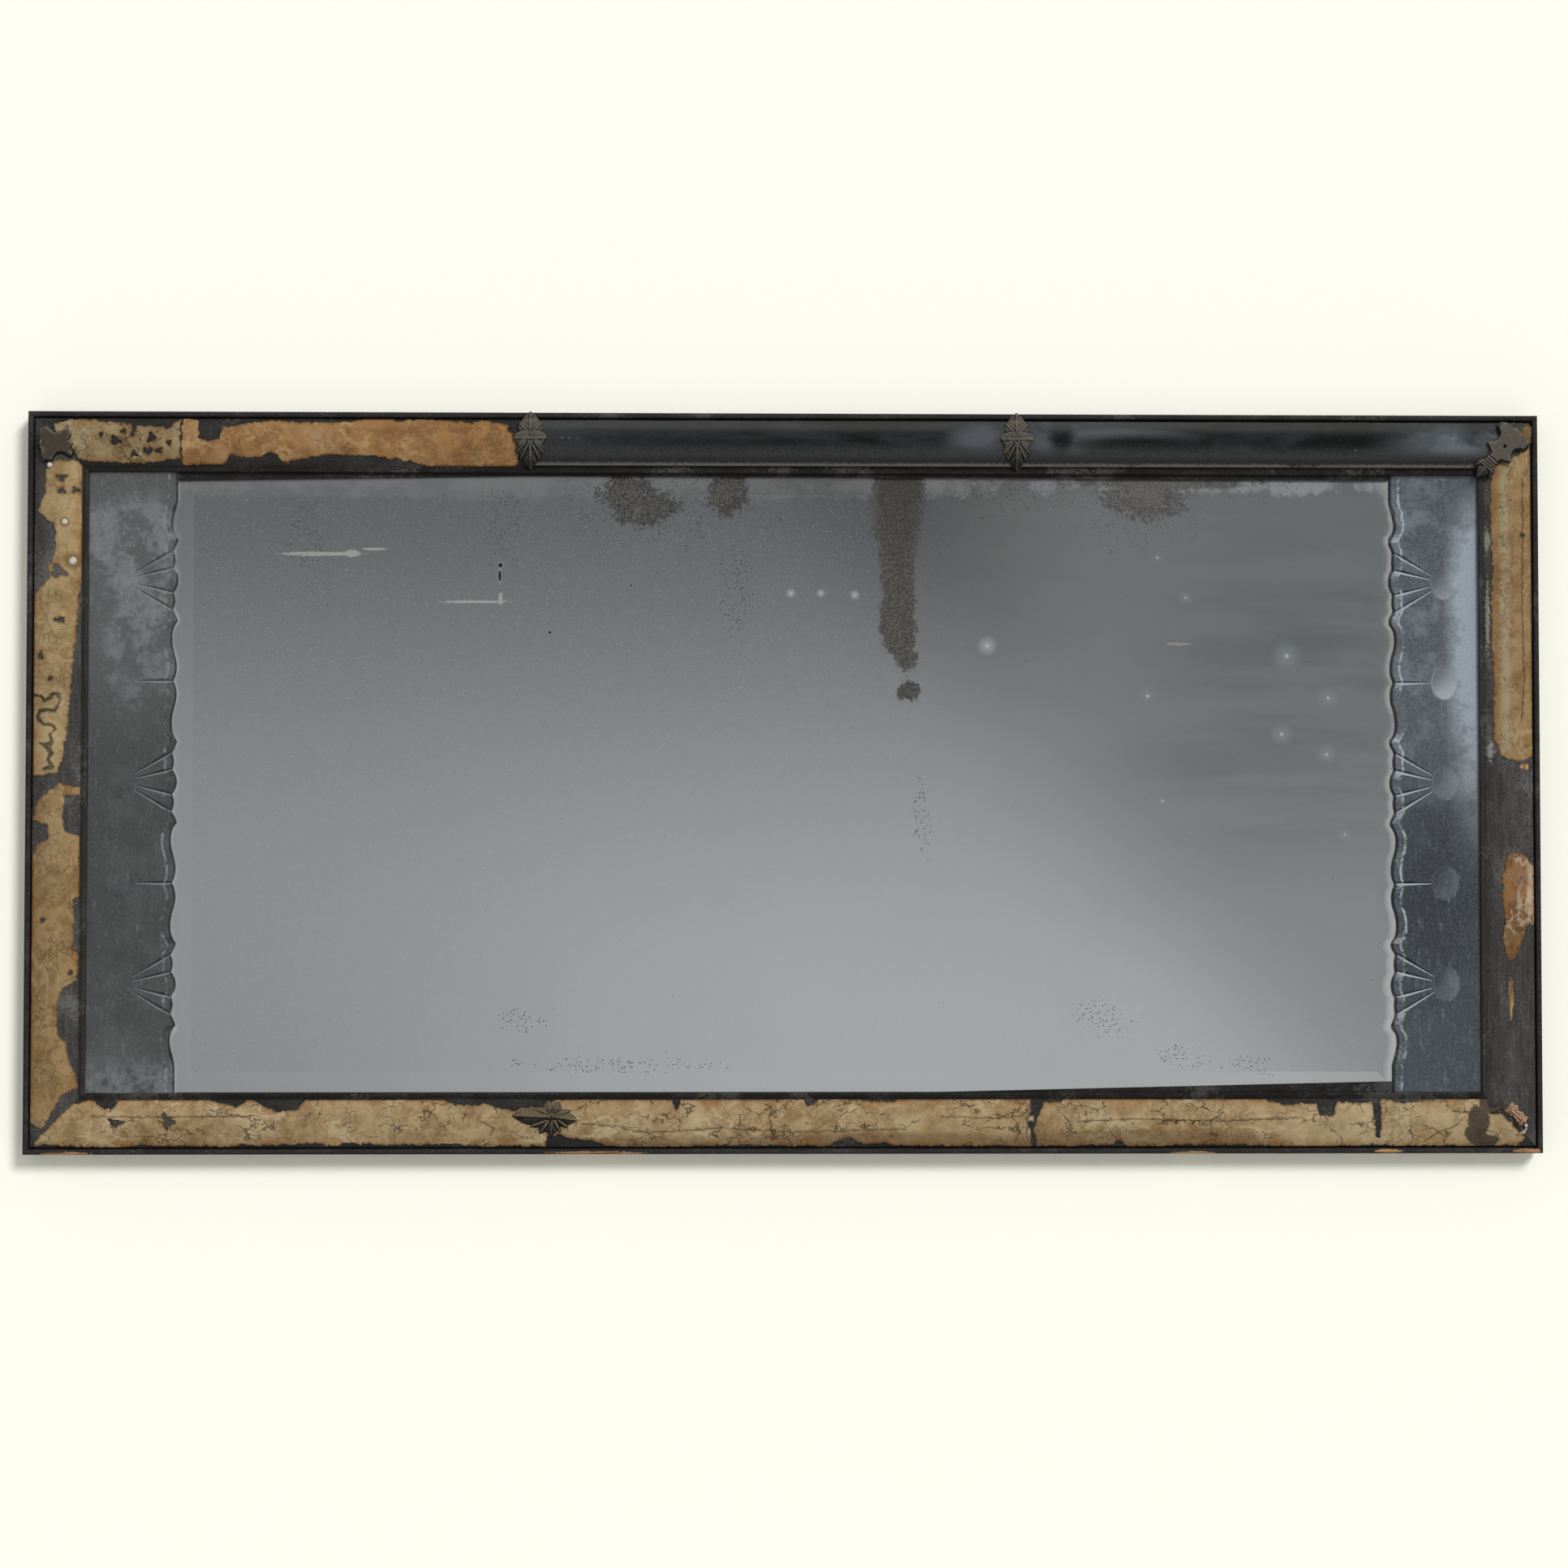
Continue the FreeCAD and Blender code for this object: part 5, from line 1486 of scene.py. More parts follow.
SHEETS = (
    TornSheet(
        "paper_top_corner", Side.TOP, GREY_TAN,
        ((31, 17), (50, 11), (68, 9), (94, 13), (127, 15), (129, 33), (133, 17), (152, 18), (172, 21),
         (188, 9), (188, 60), (176, 61), (144, 65), (111, 64), (80, 63), (62, 60), (58, 48), (44, 44)),
        ((108, 37, 6, 4.5), (152, 33, 4, 5.5), (132, 53, 3.5, 3), (148, 50, 5, 3), (162, 49, 4, 3),
         (90, 30, 2, 3), (118, 26, 2.5, 2), (174, 40, 2, 3)),
        wrinkle=0.7,
    ),
    TornSheet(
        "paper_top_left", Side.TOP, ORANGE_TAN,
        ((189, 8), (209, 11), (211, 35), (223, 37), (235, 35), (237, 21), (254, 17), (288, 11), (352, 13),
         (396, 12), (411, 8), (444, 8), (452, 12), (485, 8), (546, 13), (558, 9), (578, 14), (592, 16),
         (590, 23), (597, 26), (594, 31), (604, 34), (601, 42), (606, 50), (602, 57), (604, 62), (596, 67),
         (582, 68), (490, 68), (472, 62), (421, 55), (370, 54), (339, 59), (314, 64), (306, 54), (296, 51),
         (288, 56), (270, 58), (248, 55), (243, 65), (211, 66), (189, 67)),
        ((252, 60, 6, 4),),
        wrinkle=0.35,
    ),
    TornSheet(
        "paper_left_upper", Side.LEFT, LEFT_TAN,
        ((61, 33), (61, 62), (72, 68), (200, 68), (240, 64), (277, 62), (316, 58), (344, 56), (381, 53),
         (414, 49), (424, 48), (446, 41), (449, 22), (450, 7), (240, 7), (221, 12), (212, 24), (206, 28),
         (190, 27), (176, 35), (143, 35), (124, 12), (102, 22), (72, 23)),
        ((83, 43, 3.5, 5), (100, 43, 2.5, 4), (98, 60, 2.5, 4), (199, 40, 6.5, 8), (258, 42, 2.5, 5),
         (301, 19, 4, 2), (330, 30, 2.5, 1.8)),
        wrinkle=0.5,
    ),
    TornSheet(
        "paper_left_lower", Side.LEFT, BROWN_TAN,
        ((458, 43), (464, 68), (472, 67), (474, 50), (496, 47), (518, 50), (522, 68), (597, 68), (601, 61),
         (644, 62), (660, 60), (670, 68), (700, 65), (707, 50), (729, 43), (766, 44), (774, 53), (801, 58),
         (811, 64), (829, 68), (841, 48), (862, 37), (882, 25), (873, 8), (552, 7), (532, 15), (527, 29),
         (510, 29), (505, 8), (479, 15)),
        ((625, 24, 3, 2), (690, 58, 3, 2)),
        wrinkle=0.5,
    ),
    TornSheet(
        "paper_bottom_left", Side.BOTTOM, TAN,
        ((15, 15), (60, 62), (84, 67), (101, 56), (111, 58), (117, 68), (219, 68), (262, 59), (276, 68),
         (312, 52), (337, 57), (343, 68), (510, 68), (524, 62), (568, 61), (602, 53), (609, 58), (634, 58),
         (650, 68), (792, 68), (797, 54), (804, 69), (950, 69), (959, 59), (981, 69), (1061, 64),
         (1075, 69), (1232, 69), (1233, 56), (1227, 42), (1232, 30), (1233, 9), (1065, 10), (1051, 14),
         (1027, 11), (1010, 21), (998, 18), (984, 9), (880, 11), (746, 8), (709, 10), (696, 17), (667, 19),
         (654, 25), (640, 22), (637, 8), (620, 10), (560, 9), (530, 13), (440, 11), (412, 13), (388, 14),
         (384, 9), (370, 10), (360, 14), (286, 10), (266, 13), (258, 9), (180, 11), (95, 8), (59, 10),
         (15, 12)),
        ((114, 39.5, 7.5, 4), (177, 40.5, 5.5, 7.5)),
        (
            ((86, 47), (160, 46), (279, 47)),
            ((683, 38), (724, 34), (756, 27), (796, 28), (849, 32), (946, 27), (1080, 31)),
            ((560, 40), (575, 32), (571, 24)),
            ((1120, 46), (1180, 44), (1226, 47)),
        ),
        wrinkle=1.1,
    ),
    TornSheet(
        "paper_bottom_right", Side.BOTTOM, TAN,
        ((1247, 64), (1266, 64), (1283, 69), (1518, 68), (1540, 61), (1584, 62), (1587, 48), (1604, 48),
         (1609, 64), (1646, 62), (1653, 69), (1657, 20), (1661, 20), (1662, 67), (1693, 62), (1728, 67),
         (1791, 69), (1797, 57), (1806, 54), (1822, 38), (1842, 19), (1832, 10), (1740, 9), (1653, 10),
         (1560, 8), (1470, 11), (1353, 9), (1341, 16), (1327, 10), (1239, 9), (1235, 27), (1239, 44)),
        seams=(
            ((1751, 52), (1807, 51)),
            ((1290, 40), (1360, 43), (1460, 40), (1560, 44)),
            ((1716, 14), (1732, 26), (1752, 33), (1762, 41)),
            ((1600, 30), (1612, 22), (1616, 12)),
        ),
        wrinkle=1.1,
    ),
    TornSheet(
        "paper_right_upper", Side.RIGHT, OLIVE_TAN,
        ((38, 10), (46, 22), (54, 34), (60, 50), (68, 60), (128, 61), (192, 59), (231, 61), (288, 60),
         (337, 58), (401, 59), (422, 50), (428, 43), (430, 20), (422, 8), (263, 8), (231, 7), (82, 7)),
        ((150, 22, 1.5, 3),),
        (((78, 20), (150, 21), (240, 22), (330, 20), (380, 24)),),
        wrinkle=0.35,
    ),
    TornSheet(
        "paper_right_patch", Side.RIGHT, RUST_TAN,
        ((541, 35), (541, 26), (558, 9), (609, 8), (626, 12), (634, 19), (662, 29), (676, 37), (676, 43),
         (664, 47), (645, 50), (630, 46), (598, 50), (569, 49), (543, 43)),
        wrinkle=0.6,
        tear=2.4,
    ),
    TornSheet(
        "glue_top_right", Side.TOP, DRIED_GLUE,
        ((1820, 10), (1852, 9), (1858, 14), (1856, 32), (1850, 42), (1843, 28), (1832, 18)),
        thickness=0.9, step=1.0, tear=3.4, replaced=False,
    ),
    TornSheet(
        "glue_top_left", Side.TOP, DRIED_GLUE, ((22, 40), (30, 34), (52, 32), (60, 40), (54, 50), (34, 52)),
        thickness=0.5, step=1.2, replaced=False,
    ),
    TornSheet(
        "paper_curl", Side.BOTTOM, PALE_SCRAP, ((1828, 23), (1838, 22), (1845, 33), (1838, 30)),
        thickness=1.4, step=1.0, curl=2.5, replaced=False,
    ),
    TornSheet(
        "plaster_fleck", Side.BOTTOM, PALE_SCRAP, ((1226, 40), (1236, 39), (1237, 47), (1228, 48)),
        thickness=0.6, step=1.0, replaced=False,
    ),
)


@dataclass(frozen=True)
class LiningPapers:
    """All the torn paper on the moulding."""

    sheets: tuple[TornSheet, ...] = SHEETS

    def build(self, moulding: Moulding) -> None:
        """Builds each sheet on the moulding."""
        for sheet in self.sheets:
            sheet.build(moulding)


@dataclass(frozen=True)
class Leaf:
    """A carved leaf with a midrib and veins, in its ornament's own (along, across) millimetres."""

    root: Point
    tip: Point
    width: float
    ridge: float = 4.8
    edge: float = 2.0
    veins: float = 4.0
    droop: float = 1.6
    level: bool = False
    vein_depth: float = 0.55
    rib_height: float = 0.6
    rib_width: float = 0.13

    def rise(self, along: float, across: float) -> float | None:
        """The leaf's height.

        Args:
            along: A place along the ornament.
            across: The same place across it.

        Returns:
            The height above what the leaf lies on, or None beside the leaf.
        """
        reach = (self.tip[0] - self.root[0], self.tip[1] - self.root[1])
        length = math.hypot(*reach)
        start = (along - self.root[0], across - self.root[1])
        share = (start[0] * reach[0] + start[1] * reach[1]) / length**2
        if not 0.0 < share < 1.0:
            return None
        half = self.width / 2 * math.sin(math.pi * share**0.8) ** 0.75
        side = abs(start[0] * reach[1] - start[1] * reach[0]) / length / half
        if side > 1.0:
            return None
        swell = (1 - side) ** 0.9 * (0.6 + 0.4 * math.sin(math.pi * share))
        body = self.edge + (self.ridge - self.edge) * swell
        vein = max(0.0, math.cos(math.tau * (self.veins * share - 0.9 * side))) ** 3
        body -= self.vein_depth * vein * min(1.0, side * 3)
        return body + self.rib_height * bump(side, self.rib_width) - self.droop * share * share


@dataclass(frozen=True)
class Shield:
    """The broad body of a joint ornament, pleated below its shoulders, with a ring round its pin."""

    top: float = -13.0
    shoulder: float = -3.0
    end: float = 14.0
    half: float = 20.0
    skirt: float = 13.0
    edge: float = 2.6
    swell: float = 2.0
    pleats: int = 5
    pleat_depth: float = 0.9
    ring_radius: float = 2.6
    ring_height: float = 0.5
    ring_width: float = 1.1
    brow_height: float = 0.8
    brow_width: float = 1.6
    level: bool = False

    def rise(self, along: float, across: float) -> float | None:
        """The shield's height.

        Args:
            along: A place along the ornament.
            across: The same place across it.

        Returns:
            The height above what the shield lies on, or None beside the shield.
        """
        if not self.top < along < self.end:
            return None
        if along < self.shoulder:
            share = (self.shoulder - along) / (self.shoulder - self.top)
            half = self.half * math.sqrt(1 - share**2.4)
        else:
            share = (along - self.shoulder) / (self.end - self.shoulder)
            half = self.skirt + (self.half - self.skirt) * (1 - share) ** 2.2
        side = abs(across) / half
        if side > 1.0:
            return None
        body = self.edge + self.swell * (1 - side * side) ** 0.7
        angle = math.atan2(across, along + 10)
        body += self.pleat_depth * abs(math.cos(angle * self.pleats)) * min(1.0, max(0.0, (along + 4) / 6))
        body += self.ring_height * bump(math.hypot(along, across) - self.ring_radius, self.ring_width)
        return body + self.brow_height * bump(along - self.shoulder, self.brow_width)


@dataclass(frozen=True)
class StarPlate:
    """The thick flat plate of a corner ornament, with steep sides; it may be broken off at its tail."""

    widths: Line = (
        (27.0, 0.5), (27.6, 14.0), (29.5, 18.0), (35.0, 20.0), (38.5, 19.5), (42.0, 14.5), (46.0, 11.5),
        (51.0, 11.0), (56.0, 12.5), (60.5, 16.5), (63.0, 17.0), (65.5, 11.5), (68.0, 6.5), (73.0, 5.5),
    )
    height: float = 6.0
    slope: float = 4.4
    fall: float = 2.0
    broken: Line = ()
    level: bool = True

    def half(self, along: float) -> float:
        """Half the plate's width.

        Args:
            along: A place along the ornament.

        Returns:
            The half width there.
        """
        before = self.widths[0]
        for corner in self.widths[1:]:
            if along <= corner[0]:
                share = max(0.0, (along - before[0]) / (corner[0] - before[0]))
                return before[1] + (corner[1] - before[1]) * share
            before = corner
        return self.widths[-1][1]

    def end(self, across: float) -> float:
        """Where the plate ends, which is ragged where it is broken.

        Args:
            across: A place across the ornament.

        Returns:
            The end's place along the ornament.
        """
        tail = self.widths[-1][0]
        for first, second in zip(self.broken, self.broken[1:]):
            if first[1] <= across <= second[1]:
                share = (across - first[1]) / (second[1] - first[1])
                return tail - first[0] - (second[0] - first[0]) * share
        return tail

    def rise(self, along: float, across: float) -> float | None:
        """The plate's height.

        Args:
            along: A place along the ornament.
            across: The same place across it.

        Returns:
            The height above the crown, or None beside the plate.
        """
        past = max(abs(across) - self.half(along), self.widths[0][0] - along)
        past = max(past, (along - self.end(across)) * 1.5)
        if past > self.slope:
            return None
        rounded = 0.5 * math.exp(min(0.0, past) / 0.9)
        if past <= 0:
            return self.height - rounded
        return self.height - rounded - past * self.fall


@dataclass(frozen=True)
class Collar:
    """Ribs across the neck of a corner ornament."""

    start: float = 74.0
    pitch: float = 3.4
    ribs: int = 4
    radius: float = 2.2
    width: float = 15.0
    height: float = 6.2
    drop: float = 0.5
    side_fall: float = 2.2
    level: bool = True

    def rise(self, along: float, across: float) -> float | None:
        """The collar's height.

        Args:
            along: A place along the ornament.
            across: The same place across it.

        Returns:
            The height above the crown, or None beside the collar.
        """
        rib = math.floor((along - self.start) / self.pitch)
        if not 0 <= rib < self.ribs or abs(across) > self.width / 2 + rib:
            return None
        away = along - self.start - (rib + 0.5) * self.pitch
        side = abs(across) / (self.width / 2 + rib)
        base = self.height - self.radius - self.drop * rib
        return base + math.sqrt(self.radius**2 - away**2) - self.side_fall * side**3


@dataclass(frozen=True)
class Splinter:
    """A torn stump of wood, its fibres standing in ridges."""

    start: float = 39.5
    length: float = 33.5
    width: float = 14.0
    height: float = 5.0
    fibre_height: float = 3.4
    lump_height: float = 1.6
    side_fall: float = 2.4
    end_fall: float = 2.6
    sunk: float = 1.0
    level: bool = True

    def rise(self, along: float, across: float) -> float | None:
        """The stump's height.

        Args:
            along: A place along the ornament.
            across: The same place across it.

        Returns:
            The height above the crown, or None beside the stump.
        """
        share = (along - self.start) / self.length
        fray = ripple(across * 4, along * 0.2, 3.0, 41.0)
        if not 0.04 + 0.08 * fray < share < 0.9 + 0.14 * fray:
            return None
        ragged = 1 + 0.55 * ripple(along, 3.0, 6.0, 47.0 if across > 0 else 53.0)
        waist = 1 - 0.35 * bump(share - 0.45, 0.1)
        side = abs(across) / (self.width / 2 * ragged * waist)
        if side > 1.0:
            return None
        fibre = abs(ripple(along * 0.22, across * 1.6, 2.0, 43.0)) * self.fibre_height
        lump = self.lump_height * bump(share - 0.22, 0.14)
        return self.height - self.side_fall * side * side + fibre + lump - self.sunk - self.end_fall * share


Form = Leaf | Shield | StarPlate | Collar | Splinter


@dataclass(frozen=True)
class Carving:
    """One carved ornament: forms that overlap, seated on the moulding."""

    node: str
    finish: CarvedFinish
    origin: Point
    heading: Point
    span: tuple[Point, Point]
    forms: tuple[Form, ...]
    lift: float
    slot: str = "carved_wood"
    step: float = 0.65
    seat: float = 0.4
    least: float = 0.3
    rim: float = 0.6
    probe: float = 1.4
    rough: float = 0.14
    replaced: bool = True

    def out(self, moulding: Moulding, along: float, across: float) -> tuple[float, float | None, Vector]:
        """The ornament at one place.

        Args:
            moulding: What it is seated on.
            along: A place along the ornament.
            across: The same place across it.

        Returns:
            How far the seat and the carved top stand from the wall, and the place's x and z. The top is None
            beside the ornament.
        """
        x = self.origin[0] + self.heading[0] * along - self.heading[1] * across
        z = self.origin[1] + self.heading[1] * along + self.heading[0] * across
        seat = max(moulding.out(x, z, self.lift), moulding.bead_front) + self.seat
        crown = moulding.crown + self.lift + self.seat
        rises = [(form.level, form.rise(along, across)) for form in self.forms]
        tops = [(crown if level else seat) + rise for level, rise in rises if rise is not None]
        top = max(tops, default=seat)
        return seat, (None if top < seat + self.least else top), Vector((x, z))

    def worn(self, moulding: Moulding, along: float, across: float, out: float) -> float:
        """How far the carved top is rubbed pale: more on its ridges, less in hollows and on steep sides.

        Args:
            moulding: What the ornament is seated on.
            along: A place along the ornament.
            across: The same place across it.
            out: How far the top stands from the wall there.

        Returns:
            The share, 0 to 1.
        """
        around, steep = 0.0, 0.0
        for offset in ((self.probe, 0.0), (-self.probe, 0.0), (0.0, self.probe), (0.0, -self.probe)):
            near = self.out(moulding, along + offset[0], across + offset[1])[1] or out - self.rim
            around += near / 4
            steep = max(steep, abs(out - near) / self.probe)
        return min(1.0, max(0.0, 0.46 + (out - around) / 1.8 - min(0.3, steep * 0.12)))

    def build(self, moulding: Moulding) -> bpy.types.Object:
        """Builds the ornament: a grid cut to its outline, raised to its carved top.

        Args:
            moulding: What it is seated on.

        Returns:
            The piece.
        """
        mesh = flat_grid(*self.span, self.step)
        gone = [face for face in mesh.faces if self.out(moulding, *face.calc_center_median().xy)[1] is None]
        trim(mesh, gone, 1)
        wear = mesh.verts.layers.float.new("wear")
        upper = thicken(mesh)
        for vert in mesh.verts:
            along, across = vert.co.xy
            out, top, place = self.out(moulding, along, across)
            if vert in upper:
                out = max(out + self.rim, top or 0.0)
                vert[wear] = self.worn(moulding, along, across, out)
                out += ripple(along, across, 2.5, len(self.node)) * self.rough
            vert.co = Vector((place.x, -out, place.y)) * MM
        nodes = (self.node,) if self.replaced else ()
        name = self.node + "_carved" if self.replaced else self.node
        return hang(name, mesh, self.finish.material(), self.slot, *nodes)


JOINT_FORMS: tuple[Form, ...] = (
    Shield(),
    Leaf((-8.0, 0.0), (-37.0, 0.0), 24.0, 5.8, veins=3.0),
    Leaf((-9.0, 2.0), (-23.0, 14.0), 14.0, 4.4, veins=2.0),
    Leaf((-9.0, -2.0), (-23.0, -14.0), 14.0, 4.4, veins=2.0),
    Leaf((0.0, 3.0), (16.0, 17.0), 15.0, 5.4, veins=2.0),
    Leaf((0.0, -3.0), (16.0, -17.0), 15.0, 5.4, veins=2.0),
    Leaf((3.0, 2.0), (24.5, 12.0), 16.0, 6.2, veins=2.0),
    Leaf((3.0, -2.0), (24.5, -12.0), 16.0, 6.2, veins=2.0),
    Leaf((4.0, 0.0), (36.0, 0.0), 21.0, 7.2, veins=3.0),
)
JOINT_SPAN: tuple[Point, Point] = ((-39.0, -23.0), (38.0, 23.0))
WINGED_FORMS: tuple[Form, ...] = (
    Leaf((-4.0, 0.0), (-48.0, 2.0), 22.0, 8.6, veins=2.0),
    Leaf((-3.0, 4.0), (-25.0, 11.0), 9.0, 5.4, veins=2.0),
    Leaf((-3.0, -4.0), (-27.0, -12.0), 10.0, 5.6, veins=2.0),
    Leaf((-3.0, -5.0), (-15.0, -21.0), 11.0, 5.4, veins=2.0),
    Leaf((1.0, -4.0), (-1.0, -24.0), 17.0, 5.0, veins=2.0),
    Leaf((3.0, -4.0), (11.5, -19.0), 7.0, 6.6, veins=1.0),
    Leaf((7.0, -3.0), (21.0, -13.5), 7.5, 6.6, veins=1.0),
    Leaf((-2.0, 3.0), (-5.0, 20.0), 13.0, 4.6, veins=2.0),
    Leaf((4.0, 3.0), (9.0, 19.0), 13.0, 4.6, veins=2.0),
    Leaf((4.0, 0.0), (32.0, -4.0), 17.0, 8.0, veins=2.0),
    Leaf((5.0, 2.0), (24.0, 8.0), 9.0, 6.0, veins=2.0),
    Leaf((-9.0, 0.0), (9.0, 0.0), 15.0, 6.0, veins=1.0),
)
WINGED_SPAN: tuple[Point, Point] = ((-50.0, -26.0), (34.0, 23.0))
CORNER_FORMS: tuple[Form, ...] = (
    StarPlate(),
    Collar(),
    Leaf((83.0, 0.0), (103.0, 0.0), 15.0, 5.6, 1.0, 5.0, 5.0, True),
    Leaf((80.0, 6.0), (94.0, 12.0), 8.0, 4.4, 1.0, 2.0, 5.0, True),
    Leaf((80.0, -6.0), (94.0, -12.0), 8.0, 4.4, 1.0, 2.0, 5.0, True),
)
CORNER_SPAN: tuple[Point, Point] = ((20.0, -26.0), (106.0, 26.0))
BREAK_LINE: Line = ((6.0, -20.0), (12.0, -9.0), (7.0, -3.0), (13.0, 2.0), (8.0, 8.0), (14.0, 20.0))
SCRAP_FORMS: tuple[Form, ...] = (
    Leaf((-10.0, 0.0), (9.0, 0.0), 7.0, 3.0, 1.2),
    Leaf((-4.0, -1.0), (5.0, -6.0), 4.0, 2.4, 1.0),
)
DIAGONAL = math.sqrt(0.5)
CARVED_GREY = CarvedFinish("carved_grey_brown")
CARVED_TAN = CarvedFinish("carved_tan_rubbed", stain=paint(132, 100, 62), stained=0.5)
CARVED_CORNER = CarvedFinish("carved_corner", body=paint(90, 86, 78), stain=paint(112, 98, 60), stained=0.35)
CARVED_OLIVE = CarvedFinish("carved_olive", body=paint(70, 64, 52), stain=paint(104, 86, 48), stained=0.75)
CARVED_BLACK = CarvedFinish("carved_black", body=paint(48, 43, 37), rubbed=paint(128, 110, 86), stained=0.35)
CARVED_BROWN = CarvedFinish(
    "carved_brown", body=paint(72, 66, 57), rubbed=paint(164, 146, 112), stain=paint(122, 98, 54), stained=0.4
)
SPLINTERED = CarvedFinish(
    "splintered_wood", paint(104, 76, 58), paint(196, 150, 114), paint(236, 218, 194), paint(208, 132, 90),
    stained=0.5,
)


@dataclass(frozen=True)
class Ornaments:
    """The carved leaves at the corners and over the joints of the strips."""

    glass: float = 3.3
    paper: float = 0.8
    joint_in: float = 36.0
    joints: tuple[float, float] = (-315.0, 284.5)
    winged: Point = (-287.0, -410.0)
    broken_place: Point = (-10.0, 46.5)
    corner_place: Point = (9.3, 1.2)
    corner_turn: float = 48.2
    stub_place: Point = (4.0, 9.6)
    scrap_place: Point = (874.0, -402.0)

    def build(self, moulding: Moulding) -> None:
        """Builds each ornament.

        Args:
            moulding: What they are seated on.
        """
        right, top = moulding.half_width, moulding.half_height
        joints = [(place, top - self.joint_in) for place in self.joints]
        turn = math.radians(self.corner_turn)
        down = (0.0, -1.0)
        pieces = (
            Carving("leaf_top_left_joint", CARVED_GREY, joints[0], down, JOINT_SPAN, JOINT_FORMS, self.glass),
            Carving("leaf_top_right_joint", CARVED_TAN, joints[1], down, JOINT_SPAN, JOINT_FORMS, self.glass),
            Carving(
                "leaf_bottom_joint", CARVED_BROWN, self.winged, (1.0, 0.0),
                WINGED_SPAN, WINGED_FORMS, self.paper,
            ),
            Carving(
                "leaf_top_right_corner", CARVED_CORNER,
                (right - self.corner_place[0], top - self.corner_place[1]),
                (-math.cos(turn), -math.sin(turn)), CORNER_SPAN, CORNER_FORMS, self.glass,
            ),
            Carving(
                "leaf_top_left_corner", CARVED_OLIVE,
                (self.broken_place[0] - right, top - self.broken_place[1]), (0.9928, 0.12),
                ((18.0, -27.0), (82.0, 27.0)), (StarPlate(height=5.0, broken=BREAK_LINE),), self.paper,
            ),
            Carving(
                "leaf_stub_bottom_right", SPLINTERED,
                (right + self.stub_place[0], self.stub_place[1] - top), (-DIAGONAL, DIAGONAL),
                ((30.0, -12.0), (80.0, 12.0)), (Splinter(),), self.paper, slot="broken_wood", step=0.5,
            ),
            Carving(
                "leaf_scrap", CARVED_BLACK, self.scrap_place, (0.9, 0.44), ((-14.0, -8.0), (14.0, 8.0)),
                SCRAP_FORMS, self.paper, step=0.6, replaced=False,
            ),
        )
        for piece in pieces:
            piece.build(moulding)


@dataclass(frozen=True)
class Heads:
    """Round heads of tacks or pins, each with its place, its radius and how far it stands out."""

    name: str
    finish: Metal
    slot: str
    heads: tuple[tuple[Point, float, float], ...]
    node: str | None = None
    flatness: float = 0.6

    def build(self, moulding: Moulding) -> bpy.types.Object:
        """Builds the heads on the moulding.

        Args:
            moulding: What they are driven into.

        Returns:
            The piece.
        """
        mesh = bmesh.new()
        for (x, z), radius, lift in self.heads:
            made = bmesh.ops.create_uvsphere(mesh, u_segments=20, v_segments=12, radius=radius)
            bmesh.ops.scale(mesh, verts=made["verts"], vec=(1.0, self.flatness, 1.0))
            bmesh.ops.translate(mesh, verts=made["verts"], vec=(x, -moulding.out(x, z, lift), z))
        bmesh.ops.scale(mesh, verts=mesh.verts[:], vec=(MM, MM, MM))
        return hang(self.name, mesh, self.finish.material(), self.slot, *((self.node,) if self.node else ()))


BLACK_LEVEL = BlackWood(
    "black_wood_level",
    Grain.LEVEL,
    chips=(
        ((-880.0, -455.0), (30.0, 2.5)),
        ((-236.0, -454.5), (60.0, 2.0)),
        ((500.0, -455.0), (26.0, 2.0)),
        ((740.0, -453.0), (16.0, 2.4)),
        ((914.0, -453.0), (17.0, 2.6)),
    ),
)
BLACK_UPRIGHT = BlackWood(
    "black_wood_upright",
    Grain.UPRIGHT,
    colour=paint(74, 72, 70),
    dusty=paint(108, 107, 104),
    dust=0.8,
    chips=(((892.0, -264.0), (3.0, 26.0)), ((920.0, -160.0), (5.0, 14.0)), ((912.0, 20.0), (6.0, 3.0))),
    flakes=(
        ((868.0, 300.0), (4.0, 16.0)),
        ((868.0, 205.0), (3.0, 46.0)),
        ((922.0, -134.0), (7.0, 30.0)),
        ((870.0, 40.0), (4.0, 16.0)),
    ),
)
BEAD_BLACK = BlackWood("black_wood_bead", Grain.LEVEL, paint(48, 47, 45), paint(24, 24, 23), dust=0.5)
SLIP_BLACK = BlackWood("black_wood_slip", Grain.LEVEL, paint(34, 32, 30), paint(18, 17, 16), dust=0.4)
PINE_LEVEL = RawWood("back_pine_level", Grain.LEVEL)
PINE_UPRIGHT = RawWood("back_pine_upright", Grain.UPRIGHT)
PINE_BOARD_PALE = RawWood(
    "back_board_pale", Grain.LEVEL, paint(160, 128, 88), paint(132, 100, 64), ring_scale=38.0
)
PINE_BOARD_RED = RawWood(
    "back_board_red", Grain.LEVEL, paint(148, 112, 74), paint(116, 82, 52), ring_scale=31.0
)
PINE_BOARD_GREY = RawWood(
    "back_board_grey", Grain.LEVEL, paint(144, 118, 84), paint(118, 92, 62), ring_scale=54.0
)
PEG_WOOD = RawWood("peg_oak", Grain.UPRIGHT, paint(138, 100, 60), paint(92, 62, 36))
IRON = Metal("black_iron", paint(62, 58, 54), paint(88, 56, 36), 0.45, 0.7)
# pale and barely metallic, so the heads show white: painted sheen in place of the steel's shine
STEEL = Metal("tack_steel", paint(214, 208, 200), paint(130, 104, 74), 0.3, 0.5, 0.15)
TACK_HEADS = Heads(
    "tack_heads", STEEL, "tack_steel",
    (
        ((-904.0, 388.5), 3.2, 1.6),
        ((-885.0, 318.5), 3.6, 1.2),
        ((-875.0, 270.5), 5.0, 1.2),
        ((909.0, -421.5), 2.1, 4.0),
    ),
    "paper_tacks",
)
